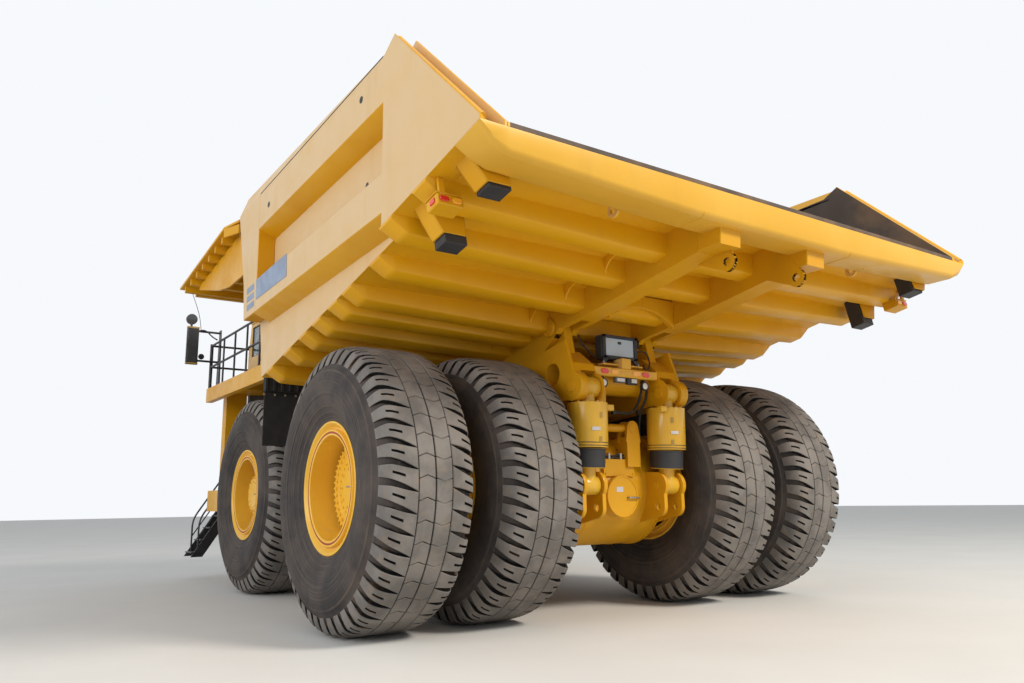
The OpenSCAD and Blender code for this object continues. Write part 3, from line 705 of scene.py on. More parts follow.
@dataclass(frozen=True)
class Paint:
    """Machine enamel: tone patches, painted sheen on sideways faces, dust on upward faces, grime runs, fine orange
    peel.
    """

    name: str
    colour: Colour
    shade: Colour
    dust: Colour = (0.42, 0.31, 0.19)
    dust_share: float = 0.35
    roughness: float = 0.4
    coat: float = 0.06
    # Painted sheen: paler colour standing in for light on faces turned to the sides, and how much of it there is
    sheened_flank: Colour = (0.66, 0.45, 0.22)
    side_sheen_share: float = 0.0
    # Half width of the load space, whose inner faces are bare rusty steel; 0 for none
    load_half: float = 0.0

    def build(self) -> Material:
        """Makes the material.

        Returns:
            The finished material.
        """
        g = Graph(self.name)
        tone = g.mix(g.ramp(g.noise(0.55, 5.0), 0.35, 0.7), self.colour, self.shade)
        # Painted sheen: faces turned to the sides blend, in slight patches, towards the paler colour in place of the
        # light on them
        if self.side_sheen_share:
            out = g.ramp(g.math("ABSOLUTE", g.axis("X", Coords.NORMAL)), 0.82, 0.97, (0.0, self.side_sheen_share))
            wear_and_sheen = g.math("MULTIPLY", out, g.ramp(g.noise(0.9, 4.0), 0.15, 0.6, (0.86, 1.0)))
            tone = g.mix(wear_and_sheen, tone, self.sheened_flank)
        speck = g.ramp(g.noise(9.0, 6.0), 0.42, 0.75)
        up = g.ramp(g.axis("Z", Coords.NORMAL), 0.25, 0.95)
        settled = g.math("MULTIPLY", g.math("ADD", g.math("MULTIPLY", up, 0.8), 0.10), speck)
        share = g.math("MULTIPLY", settled, self.dust_share)
        streaks = g.ramp(g.noise(3.0, 4.0, (1.0, 1.0, 0.12)), 0.55, 0.8, (0.0, 0.14))
        grimy = g.mix(streaks, tone, darker(self.colour, 0.55))
        colour = g.mix(share, grimy, self.dust)
        rough = g.ramp(g.noise(2.2, 3.0), 0.3, 0.75, (self.roughness - 0.07, self.roughness + 0.14))
        rough = g.math("ADD", rough, g.math("MULTIPLY", share, 0.5))
        if self.load_half:
            bare = self.inside(g)
            rust = g.mix(g.ramp(g.noise(1.6, 7.0), 0.4, 0.66), (0.085, 0.062, 0.048), (0.17, 0.105, 0.062))
            colour = g.mix(bare, colour, rust)
            rough = g.math("ADD", rough, g.math("MULTIPLY", bare, 0.35))
        g.link(colour, g.shader.inputs["Base Color"])
        g.link(rough, g.shader.inputs["Roughness"])
        g.set(Coat_Weight=self.coat, Coat_Roughness=0.22, Specular_IOR_Level=0.3)
        g.bump(g.noise(60.0, 2.0), 0.05, 0.002)
        return g.material

    def inside(self, g: Graph) -> Socket:
        """Finds the faces that hold the load, inside the load space and turned to its middle, up or back.

        Args:
            g: The material's graph.

        Returns:
            A socket with 1 on those faces and 0 elsewhere.
        """
        x = g.axis("X")
        within = g.math("LESS_THAN", g.math("ABSOLUTE", x), self.load_half)
        inward = g.math("MULTIPLY", g.math("MULTIPLY", x, g.axis("X", Coords.NORMAL)), -1.0)
        faces = g.math("MAXIMUM", g.math("GREATER_THAN", inward, 0.3),
                       g.math("MAXIMUM", g.math("GREATER_THAN", g.axis("Z", Coords.NORMAL), 0.7),
                              g.math("GREATER_THAN", g.axis("Y", Coords.NORMAL), 0.6)))
        return g.math("MULTIPLY", within, faces)


@dataclass(frozen=True)
class Enamel:
    """A plain coat of one colour with slight patches and grain, for small parts and black steel."""

    name: str
    colour: Colour
    roughness: float = 0.45
    metal: float = 0.0
    grain: float = 40.0
    grain_depth: float = 0.08
    dust: float = 0.25

    def build(self) -> Material:
        """Makes the material.

        Returns:
            The finished material.
        """
        g = Graph(self.name)
        tone = g.mix(g.ramp(g.noise(4.0, 5.0), 0.3, 0.7), self.colour, darker(self.colour, 0.78))
        up = g.ramp(g.axis("Z", Coords.NORMAL), 0.3, 0.95)
        share = g.math("MULTIPLY", g.math("MULTIPLY", up, g.ramp(g.noise(7.0, 6.0), 0.35, 0.7)), self.dust)
        g.link(g.mix(share, tone, (0.36, 0.28, 0.19)), g.shader.inputs["Base Color"])
        rough = g.ramp(g.noise(5.0, 4.0), 0.3, 0.7, (self.roughness - 0.06, self.roughness + 0.1))
        g.link(rough, g.shader.inputs["Roughness"])
        g.set(Metallic=self.metal)
        g.bump(g.noise(self.grain, 3.0), self.grain_depth, 0.002)
        return g.material


@dataclass(frozen=True)
class Tread:
    """Worn rubber of the lugs and ribs: grey, scuffed, with brown dust in blotches."""

    name: str = "tread_rubber"
    wear_and_sheen: Colour = (0.225, 0.204, 0.184)
    fresh: Colour = (0.15, 0.138, 0.126)
    dust: Colour = (0.27, 0.2, 0.14)

    def build(self) -> Material:
        """Makes the material.

        Returns:
            The finished material.
        """
        g = Graph(self.name)
        tone = g.mix(g.ramp(g.noise(2.6, 6.0), 0.35, 0.65), self.wear_and_sheen, self.fresh)
        dusty = g.math("MULTIPLY", g.ramp(g.noise(6.5, 8.0, rough=0.7), 0.5, 0.72), 0.6)
        g.link(g.mix(dusty, tone, self.dust), g.shader.inputs["Base Color"])
        g.set(Roughness=0.86, Specular_IOR_Level=0.25)
        g.bump(g.math("ADD", g.noise(38.0, 6.0, rough=0.75), g.math("MULTIPLY", g.noise(9.0, 3.0), 1.5)), 0.45, 0.004)
        return g.material


@dataclass(frozen=True)
class Groove:
    """Black rubber deep in the tread, darker than the rubber elsewhere as painted shade, with brown dust caked in
    patches.
    """

    name: str = "groove_rubber"

    def build(self) -> Material:
        """Makes the material.

        Returns:
            The finished material.
        """
        g = Graph(self.name)
        caked = g.ramp(g.noise(3.2, 7.0, rough=0.65), 0.52, 0.68, (0.0, 0.75))
        # Near-black base: black rubber deepened by painted shade for the deep grooves, with brown caked dust
        g.link(g.mix(caked, (0.016, 0.015, 0.015), (0.15, 0.088, 0.05)), g.shader.inputs["Base Color"])
        g.set(Roughness=0.93, Specular_IOR_Level=0.2)
        g.bump(g.noise(30.0, 5.0), 0.4, 0.004)
        return g.material


@dataclass(frozen=True)
class Sidewall:
    """Sidewall rubber: dusty grey and brown, wiped in rings round the hub."""

    name: str
    hub_y: float

    def build(self) -> Material:
        """Makes the material.

        Returns:
            The finished material.
        """
        g = Graph(self.name)
        far = g.radius(self.hub_y, HUB_Z)
        rings = g.add("ShaderNodeTexNoise", noise_dimensions="1D")
        rings.inputs["Scale"].default_value = 26.0
        rings.inputs["Detail"].default_value = 4.0
        g.link(far, rings.inputs["W"])
        tone = g.mix(g.ramp(g.noise(1.4, 7.0, rough=0.62), 0.34, 0.66), (0.034, 0.031, 0.031), (0.082, 0.066, 0.056))
        brown = g.math("MULTIPLY", g.ramp(rings.outputs["Fac"], 0.45, 0.72),
                       g.ramp(g.noise(2.3, 6.0), 0.36, 0.68, (0.1, 0.62)))
        dusty = g.mix(brown, tone, (0.135, 0.098, 0.074))
        pale = g.ramp(g.noise(5.5, 9.0, rough=0.75), 0.6, 0.8, (0.0, 0.35))
        g.link(g.mix(pale, dusty, (0.19, 0.17, 0.15)), g.shader.inputs["Base Color"])
        g.set(Roughness=0.78, Specular_IOR_Level=0.3)
        g.bump(g.math("ADD", g.math("MULTIPLY", rings.outputs["Fac"], 2.0), g.noise(26.0, 5.0)), 0.28, 0.004)
        return g.material


@dataclass(frozen=True)
class Glass:
    """Tinted window or mirror glass."""

    name: str
    tint: Colour = (0.32, 0.38, 0.4)
    through: float = 0.85

    def build(self) -> Material:
        """Makes the material.

        Returns:
            The finished material.
        """
        g = Graph(self.name)
        dusty = g.ramp(g.noise(3.0, 6.0), 0.5, 0.8, (0.0, 0.25))
        g.link(g.mix(dusty, self.tint, (0.5, 0.45, 0.38)), g.shader.inputs["Base Color"])
        g.link(g.ramp(g.noise(8.0, 5.0), 0.4, 0.8, (0.03, 0.16)), g.shader.inputs["Roughness"])
        g.set(Transmission_Weight=self.through, IOR=1.45)
        return g.material


@dataclass(frozen=True)
class Lens:
    """Ribbed lamp lens in one colour, with a glossy skin and a faint painted glow."""

    name: str
    colour: Colour
    # Strength of the painted glow: a faint emission in the lens colour that brightens the lens as if lit
    painted_glow: float = 0.25

    def build(self) -> Material:
        """Makes the material.

        Returns:
            The finished material.
        """
        g = Graph(self.name)
        wave = g.add("ShaderNodeTexWave", wave_type="BANDS", bands_direction="X")
        wave.inputs["Scale"].default_value = 45.0
        g.link(g.place(), wave.inputs["Vector"])
        g.link(g.mix(wave.outputs["Fac"], self.colour, darker(self.colour, 0.6)), g.shader.inputs["Base Color"])
        g.set(Roughness=0.12, Coat_Weight=0.6, Coat_Roughness=0.05, Emission_Color=(*self.colour, 1.0),
              Emission_Strength=self.painted_glow)
        g.bump(wave.outputs["Fac"], 0.3, 0.002)
        return g.material


@dataclass(frozen=True)
class Cloth:
    """Woven seat cloth: two crossed sets of threads with fine fuzz."""

    name: str = "seat_cloth"

    def build(self) -> Material:
        """Makes the material.

        Returns:
            The finished material.
        """
        g = Graph(self.name)
        threads = []
        for direction in ("Y", "Z"):
            wave = g.add("ShaderNodeTexWave", wave_type="BANDS", bands_direction=direction)
            wave.inputs["Scale"].default_value = 90.0
            wave.inputs["Distortion"].default_value = 0.6
            g.link(g.place(), wave.inputs["Vector"])
            threads.append(wave.outputs["Fac"])
        weave = g.math("MULTIPLY", *threads)
        g.link(g.mix(weave, (0.035, 0.037, 0.042), (0.09, 0.092, 0.1)), g.shader.inputs["Base Color"])
        g.set(Roughness=0.95, Sheen_Weight=0.4, Sheen_Roughness=0.5)
        g.bump(weave, 0.5, 0.001)
        return g.material


class Finishes:
    """Every finish of the truck, built once."""

    def __init__(self) -> None:
        """Builds the materials."""
        gold, deep = (0.7, 0.35, 0.006), (0.63, 0.295, 0.004)
        self.yellow = Paint("machine_yellow", gold, deep).build()
        self.sheened_flank = Paint("bed_side_yellow", gold, deep, side_sheen_share=1.0, dust_share=0.2, load_half=4.501).build()
        # Beam paint: a paler, brighter copy of the machine yellow, painted light for the sun on the rear faces; it also
        # has half the painted side sheen
        self.beam = Paint("beam_yellow", (0.75, 0.42, 0.05), (0.7, 0.37, 0.03), side_sheen_share=0.5, dust_share=0.2,
                          roughness=0.34).build()
        # Underside paint: a brighter, less dusty copy of the machine yellow, painted light for the light bounced up
        # onto the bolsters
        self.under = Paint("underside_yellow", (0.74, 0.37, 0.004), (0.68, 0.32, 0.003), dust_share=0.12).build()
        self.load = Paint("bed_yellow", gold, deep, load_half=4.47).build()
        self.cabin = Paint("cab_yellow", gold, deep, side_sheen_share=0.45).build()
        self.rim = Paint("rim_yellow", (0.86, 0.5, 0.05), (0.8, 0.43, 0.03), dust_share=0.2, roughness=0.34).build()
        self.strut = Paint("strut_yellow", (0.72, 0.43, 0.035), (0.69, 0.38, 0.02), dust_share=0.15, roughness=0.3,
                           coat=0.4).build()
        self.black = Enamel("black_enamel", (0.018, 0.018, 0.02), 0.4).build()
        self.satin = Enamel("satin_black", (0.03, 0.031, 0.034), 0.55).build()
        self.rubber = Enamel("flap_rubber", (0.02, 0.02, 0.02), 0.85, grain_depth=0.3).build()
        self.hose = Enamel("hose_rubber", (0.016, 0.016, 0.017), 0.6, grain=120.0).build()
        self.steel = Enamel("bare_steel", (0.32, 0.31, 0.3), 0.42, 0.85, dust=0.1).build()
        self.zinc = Enamel("zinc_plate", (0.5, 0.48, 0.42), 0.35, 0.7, dust=0.1).build()
        self.chrome = Enamel("rod_chrome", (0.7, 0.7, 0.7), 0.12, 1.0, grain_depth=0.01, dust=0.0).build()
        self.iron = Enamel("engine_iron", (0.16, 0.165, 0.17), 0.7, 0.3, grain_depth=0.3).build()
        self.grip = Enamel("grip_deck", (0.06, 0.06, 0.058), 0.9, grain=160.0, grain_depth=0.6).build()
        self.red_ring = Enamel("red_ring", (0.42, 0.04, 0.02), 0.5).build()
        self.label = Enamel("blank_label", (0.68, 0.66, 0.66), 0.4, dust=0.1).build()
        self.stripe = Enamel("blue_stripe", (0.25, 0.31, 0.42), 0.45, dust=0.1).build()
        self.tan = Enamel("tan_cap", (0.45, 0.27, 0.05), 0.5).build()
        self.tread = Tread().build()
        self.groove = Groove().build()
        self.wall_rear = Sidewall("sidewall_rear", AXLE_Y).build()
        self.wall_front = Sidewall("sidewall_front", FRONT_Y).build()
        self.glass = Glass("window_glass").build()
        self.screen = Glass("screen_glass", (0.42, 0.5, 0.58), 0.0).build()
        self.mirror = Enamel("mirror_glass", (0.06, 0.065, 0.07), 0.07, 0.0, grain_depth=0.0, dust=0.05).build()
        self.red = Lens("red_lens", (0.6, 0.02, 0.015)).build()
        self.amber = Lens("amber_lens", (0.8, 0.33, 0.02)).build()
        self.white = Lens("clear_lens", (0.8, 0.79, 0.74), 0.08).build()
        self.cloth = Cloth().build()


# CAD nodes: corners closer than this are one, faces that turn less are one, edges that turn more are rounded
WELD_DISTANCE = 0.0002
FLAT_ANGLE = math.radians(0.6)
EDGE_ANGLE = math.radians(34)


def assign(names: Sequence[str], material: Material, bevel: float = 0.008) -> None:
    """Gives CAD nodes one material and softens their sharp edges.

    Args:
        names: The nodes.
        material: Their finish.
        bevel: Width of the rounded edges; 0 leaves them sharp.
    """
    for name in names:
        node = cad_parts[name]
        node.data.materials.clear()
        node.data.materials.append(material)
        if bevel:
            weld = node.modifiers.new("weld", "WELD")
            weld.merge_threshold = WELD_DISTANCE
            flat = node.modifiers.new("flat", "DECIMATE")
            flat.decimate_type = "DISSOLVE"
            flat.angle_limit = FLAT_ANGLE
            edges = node.modifiers.new("edges", "BEVEL")
            edges.width = bevel
            edges.segments = 2
            edges.limit_method = "ANGLE"
            edges.angle_limit = EDGE_ANGLE
            edges.harden_normals = True
            edges.use_clamp_overlap = True


# ---------------------------------------------------------------- wheels


@dataclass
class Tyre:
    """A haul tyre: carcass, two centre ribs with chevron cuts, and slanted shoulder lugs with a slot each."""

    radius: float = 2.0
    lugs: int = 46
    rib_edge: float = 0.232
    slant: float = 19.0
    rib_gap: float = 0.011
    chevron: float = 0.042
    groove_depth: float = 0.085
    slot_depth: float = 0.045
    lug_round: float = 0.009
    rib_round: float = 0.005
    rib_depth: float = 0.06
    # Half of the gap between two rib blocks
    cut_half: float = 0.006
    # Middle of the lugs, about which they slant
    lug_x: float = 0.52
    # Carcass under the tread and down to the bead, as [half width, radius]
    carcass: Profile = (
        (0.0, 1.958), (0.24, 1.958), (0.262, 1.915), (0.45, 1.9), (0.555, 1.85), (0.615, 1.775), (0.65, 1.72),
        (0.685, 1.66), (0.693, 1.652), (0.7, 1.648), (0.716, 1.585), (0.72, 1.578), (0.73, 1.5), (0.7345, 1.42),
        (0.733, 1.405), (0.7325, 1.39), (0.722, 1.3), (0.714, 1.292), (0.712, 1.27), (0.695, 1.19), (0.672, 1.12),
        (0.662, 1.112), (0.655, 1.09), (0.622, 1.02), (0.6, 0.985), (0.588, 0.93), (0.545, 0.9), (0.539, 0.836))
    # Outer surface of a lug from the rib to its foot on the buttress, as [half width, radius]
    crown: Profile = (
        (0.244, 2.0), (0.3, 1.998), (0.37, 1.993), (0.44, 1.985), (0.5, 1.971), (0.545, 1.955), (0.58, 1.925),
        (0.603, 1.885), (0.625, 1.84), (0.65, 1.775), (0.667, 1.725))

    @property
    def pitch(self) -> float:
        """Angle from one lug to the next."""
        return 2 * math.pi / self.lugs

    def turned(self, x: Array, r: Array, angle: Array) -> Array:
        """Points from across, radius and angle: (x, r cos a, r sin a)."""
        return np.stack(np.broadcast_arrays(x, r * np.cos(angle), r * np.sin(angle)), -1)

    def body(self) -> Form:
        """The carcass: its half profile and the mirror image, carried round X.

        Returns:
            The closed ring.
        """
        half = np.array(self.carcass)
        loop = np.concatenate([half, (half * (-1.0, 1.0))[::-1][:-1]])
        return revolve(loop, X_AXIS, segments=138, loop=True)

    def lug(self, sign: int) -> tuple[Form, Form]:
        """One shoulder lug as a height field over rows down the crown and columns across the lug.

        The height is 0 on the lug's face, drops at its edges and in its slot, and goes down to the carcass at
        the first and last column. The angle of a point is the lug's line, slant included, plus its share of the
        lug's half width.

        Args:
            sign: 1 for the side towards +X, -1 for the other.

        Returns:
            The faces of the tread, and those of the walls and the slot.
        """
        crown = np.array(self.crown)
        place = np.linspace(0, 1, len(crown))
        rows = np.array([0.0, 0.02, 0.14, 0.27, 0.285, 0.42, 0.555, 0.57, 0.64, 0.74, 0.86, 1.0])
        x, r = (np.interp(rows, place, crown[:, k]) for k in (0, 1))
        slope = unit(np.stack([np.gradient(x), np.gradient(r)], 1))
        out = np.stack([-slope[:, 1], slope[:, 0]], 1)
        share = np.interp(rows, [0, 0.14, 0.3, 0.6, 1.0], [0.485, 0.43, 0.375, 0.34, 0.3])
        columns = np.array([-1.0, -1.0, -0.93, -0.17, -0.13, 0.13, 0.17, 0.93, 1.0, 1.0])
        height = np.zeros((len(rows), len(columns)))
        height[:, [1, 8]] = -self.lug_round
        height[:, [0, 9]] = -self.groove_depth - 0.03
        height[[0, -1], 1:9] = -0.01
        height[4:7, 4:6] = -self.slot_depth
        line = math.tan(math.radians(self.slant)) * (x - self.lug_x) / self.radius
        angle = line[:, None] + share[:, None] * columns * self.pitch
        base = 0.5 * self.pitch
        if sign < 0:
            angle, base = -angle, 0.0
        across, up = x[:, None] + height * out[:, :1], r[:, None] + height * out[:, 1:]
        points = self.turned(sign * across, up, angle + base)
        whole = grid(points, wrap_columns=True, caps=True)
        quads, caps = whole.faces
        column = np.tile(np.arange(len(columns)), len(rows) - 1)
        row = np.repeat(np.arange(len(rows) - 1), len(columns))
        # Lug walls and slots take the groove rubber, which is partly painted shade
        dark = (column == 0) | (column >= 8) | ((row >= 3) & (row <= 6) & (column >= 3) & (column <= 5))
        return Form(whole.points, [quads[~dark]]), Form(whole.points, [quads[dark], caps])

    def rib(self, sign: int) -> Form:
        """One block of a centre rib: rows along the rib, columns across it, its ends bent to a chevron.

        Args:
            sign: 1 for the rib towards +X, -1 for the other.

        Returns:
            The closed block.
        """
        x0, x1, edge = self.rib_gap, self.rib_edge, self.rib_round
        inner = x0 + (x1 - x0) * np.array([0.25, 0.5, 0.75])
        across = np.array([x0, x0, x0 + edge, *inner, x1 - edge, x1, x1])
        drop = np.array([-self.rib_depth, -edge, 0, 0, 0, 0, 0, -edge, -self.rib_depth])
        bend = np.interp(across, [x0, (x0 + x1) / 2, x1], [0, 1, 0]) * self.chevron * sign
        gap, soft = self.cut_half / self.radius, 0.004
        along = np.array([gap, gap + soft, self.pitch / 2, self.pitch - gap - soft, self.pitch - gap])
        sink = np.array([-edge, 0, 0, 0, -edge])[:, None] * (drop > -2 * edge)
        radius = self.radius + drop[None] + sink
        angle = along[:, None] + (bend / self.radius)[None] + 0.25 * self.pitch
        points = self.turned(np.broadcast_to(sign * across, radius.shape), radius, angle)
        return grid(points, wrap_columns=True, caps=True)

    def around(self, form: Form) -> Form:
        """One copy of a shape for each pitch, turned about X: y cos a - z sin a and y sin a + z cos a.

        Args:
            form: The shape.

        Returns:
            All the copies as one shape.
        """
        angle = np.arange(self.lugs) * self.pitch
        y, z = form.points[:, 1], form.points[:, 2]
        c, s = np.cos(angle)[:, None], np.sin(angle)[:, None]
        points = np.stack([np.broadcast_to(form.points[:, 0], (self.lugs, len(y))), y * c - z * s, y * s + z * c], -1)
        starts = (np.arange(self.lugs) * len(y))[:, None, None]
        return Form(points.reshape(-1, 3), [(f[None] + starts).reshape(-1, f.shape[1]) for f in form.faces])

    def add_to(self, piece: Piece, finish: Finishes, middle: Sequence[float]) -> None:
        """Adds the tyre to a piece that starts with the sidewall's rubber.

        Args:
            piece: The piece.
            finish: Where the rubber of the tread and the grooves comes from.
            middle: The wheel's middle.
        """
        piece.add(self.body().moved(middle))
        for sign in (1, -1):
            face, wall = (self.around(form).moved(middle) for form in self.lug(sign))
            piece.add(face, finish.tread).add(wall, finish.groove)
            piece.add(self.around(self.rib(sign)).moved(middle), finish.tread)


@dataclass(frozen=True)
class Hub:
    """One axle's wheels: its nodes and bodies, its place, its hub and its rings of bolts.

    The profile is [along the axle, radius] from the rim's middle. A ring is [along, radius, count, large heads].
    """

    tyre_node: str
    rim_node: str
    body: str
    y: float
    x: tuple[float, ...]
    profile: Profile
    rings: tuple[tuple[float, float, int, bool], ...]


FRONT_HUB = Hub(
    "front_tyre", "front_rim", "front_wheel", -WHEELBASE, (3.15,),
    ((-0.48, 0.3), (-0.48, 0.42), (-0.33, 0.42), (-0.33, 0.722), (-0.258, 0.722), (-0.25, 0.714), (-0.25, 0.5),
     (-0.244, 0.49), (-0.235, 0.44), (-0.22, 0.42), (0.3, 0.42), (0.35, 0.41), (0.38, 0.385), (0.382, 0.335),
     (0.41, 0.33), (0.418, 0.32), (0.418, 0.1), (0.412, 0.0)),
    ((0.3825, 0.362, 20, True), (0.418, 0.27, 12, False), (-0.25, 0.64, 48, True)))
REAR_HUB = Hub(
    "rear_tyres", "rear_rims", "rear_wheels", 0.0, (2.11, 3.94),
    ((-0.06, 0.63), (-0.06, 0.722), (0.032, 0.722), (0.04, 0.714), (0.04, 0.6), (0.05, 0.575), (0.07, 0.56),
     (0.17, 0.56), (0.18, 0.57), (0.18, 0.614), (0.186, 0.62), (0.232, 0.62), (0.24, 0.612), (0.24, 0.49),
     (0.228, 0.48), (0.228, 0.44), (0.24, 0.43), (0.24, 0.335), (0.258, 0.33), (0.265, 0.32), (0.265, 0.0)),
    ((0.24, 0.53, 32, True), (0.24, 0.385, 24, False), (0.265, 0.28, 10, False)))


@dataclass
class Wheels:
    """Tyres, rims and what is bolted to them, on every axle. Profiles are [along the axle, radius]."""

    finish: Finishes
    tyre: Tyre = field(default_factory=Tyre)
    steps: int = 96
    # Radius and height of the large and the small bolt heads, and of the studs between the rear rims
    nut: tuple[float, float] = (0.021, 0.026)
    small: tuple[float, float] = (0.015, 0.018)
    stud: tuple[float, float] = (0.021, 0.072)
    stud_ring: tuple[float, int, float] = (0.628, 46, 0.175)
    rim_half: float = 0.6
    lock: Profile = ((0.57, 0.778), (0.585, 0.778), (0.589, 0.774), (0.589, 0.759), (0.585, 0.755), (0.57, 0.755))
    spacer: Profile = ((-1.28, 0.722), (-1.28, 0.736), (-0.55, 0.736), (-0.55, 0.722))

    def tyres(self, hub: Hub, side: Side) -> None:
        """Builds one side's tyres of an axle.

        Args:
            hub: The axle.
            side: The side.
        """
        f, word = self.finish, side.name.lower()
        piece = Piece(f"{hub.tyre_node}_{word}_tread", f.wall_front if hub is FRONT_HUB else f.wall_rear)
        for x in hub.x:
            self.tyre.add_to(piece, f, (side.value * x, hub.y, HUB_Z))
        shown = piece.build(f"{hub.body}_{word}", sharp=28.0)
        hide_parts(f"{hub.tyre_node}_{word}")

    def ring(self, out: Array, middle: Array) -> Form:
        """The rim's ring: bead seat, flange, gutter, lock ring groove and bore, the same on both edges.

        Args:
            out: Direction away from the truck.
            middle: The rim's middle.

        Returns:
            The closed ring.
        """
        h = self.rim_half
        half = np.array([
            (h - 0.06, 0.835), (h - 0.06, 0.885), (h - 0.045, 0.905), (h - 0.02, 0.922), (h - 0.006, 0.925),
            (h, 0.915), (h, 0.897), (h - 0.008, 0.885), (h - 0.05, 0.862), (h - 0.07, 0.83), (h - 0.07, 0.81),
            (h - 0.016, 0.806), (h - 0.01, 0.802), (h - 0.01, 0.78), (h - 0.035, 0.78), (h - 0.035, 0.753),
            (h - 0.012, 0.753), (h - 0.012, 0.73), (h - 0.02, 0.722), (0.25, 0.722)])
        loop = np.concatenate([half, (half * (-1.0, 1.0))[::-1]])
        return revolve(loop, out, middle, self.steps, loop=True)

    def rims(self, hub: Hub, side: Side) -> None:
        """Builds one side's rims of an axle with hub, lock ring, studs, bolts and valve.

        Args:
            hub: The axle.
            side: The side.
        """
        f, word = self.finish, side.name.lower()
        out = np.array((float(side.value), 0.0, 0.0))
        middle = np.array((side.value * hub.x[-1], hub.y, HUB_Z))
        piece = Piece(f"{hub.rim_node}_{word}_dressed", f.rim)
        piece.add(self.ring(out, middle)).add(revolve(hub.profile, out, middle, self.steps))
        piece.add(revolve(self.lock, out, middle, self.steps, loop=True), f.red_ring)
        if len(hub.x) > 1:
            piece.add(self.ring(out, middle - out * (hub.x[-1] - hub.x[0])))
            piece.add(revolve(self.spacer, out, middle, self.steps, loop=True))
            radius, count, along = self.stud_ring
            studs = circle(radius, count, middle + out * along, out)
            piece.add(scatter(disc(*self.stud, segments=10), studs, out))
        for along, radius, count, large in hub.rings:
            head = bolt(*(self.nut if large else self.small))
            piece.add(scatter(head, circle(radius, count, middle + out * along, out), out))
        valve = [middle + out * along + (0, y, 0) for along, y in ((0.5, 0.69), (0.56, 0.69), (0.585, 0.61))]
        piece.add(tube(rounded(valve, 0.03), 0.011, 8), f.steel)
        shown = piece.build(f"{hub.body}_{word}", sharp=30.0)
        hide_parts(f"{hub.rim_node}_{word}")

    def build(self) -> None:
        """Builds the tyres, then the rims."""
        for side in Side:
            for hub in (FRONT_HUB, REAR_HUB):
                self.tyres(hub, side)
        for side in Side:
            for hub in (FRONT_HUB, REAR_HUB):
                self.rims(hub, side)


# ---------------------------------------------------------------- bed


@dataclass(frozen=True)
class BedShape:
    """The bed's driving sizes, and the lines that its pieces share."""

    half: float = 4.84
    sheet: float = 4.54
    inner: float = 4.5
    slope: float = math.radians(12.0)
    floor_front: float = 3.0
    floor_z: float = 4.01
    tail: float = 4.45
    rise: float = 0.05
    top: float = 7.31
    band: float = 5.77
    panel_y: float = 2.18
    peak: tuple[float, float] = (2.48, 7.575)

    def floor_at(self, y: float) -> float:
        """Height of the floor's underside."""
        return self.floor_z + (y + self.floor_front) * math.tan(self.slope)

    def side_at(self, z: float, y: float) -> float:
        """Height of a line along the side that rises to the rear and is at z over the axle."""
        return z + self.rise * y

    def up_floor(self, y: float) -> float:
        """Distance up the floor's slope."""
        return (y + self.floor_front) / math.cos(self.slope)

    def on_floor(self, form: Form) -> Form:
        """Turns a shape from the floor's own frame into the truck's.

        The turn about X is y cos a - z sin a and y sin a + z cos a, from the floor's front corner.

        Args:
            form: The shape, with its y up the slope.

        Returns:
            The turned shape.
        """
        x, y, z = form.points.T
        c, s = math.cos(self.slope), math.sin(self.slope)
        return Form(np.stack([x, y * c - z * s - self.floor_front, y * s + z * c + self.floor_z], 1), form.faces)


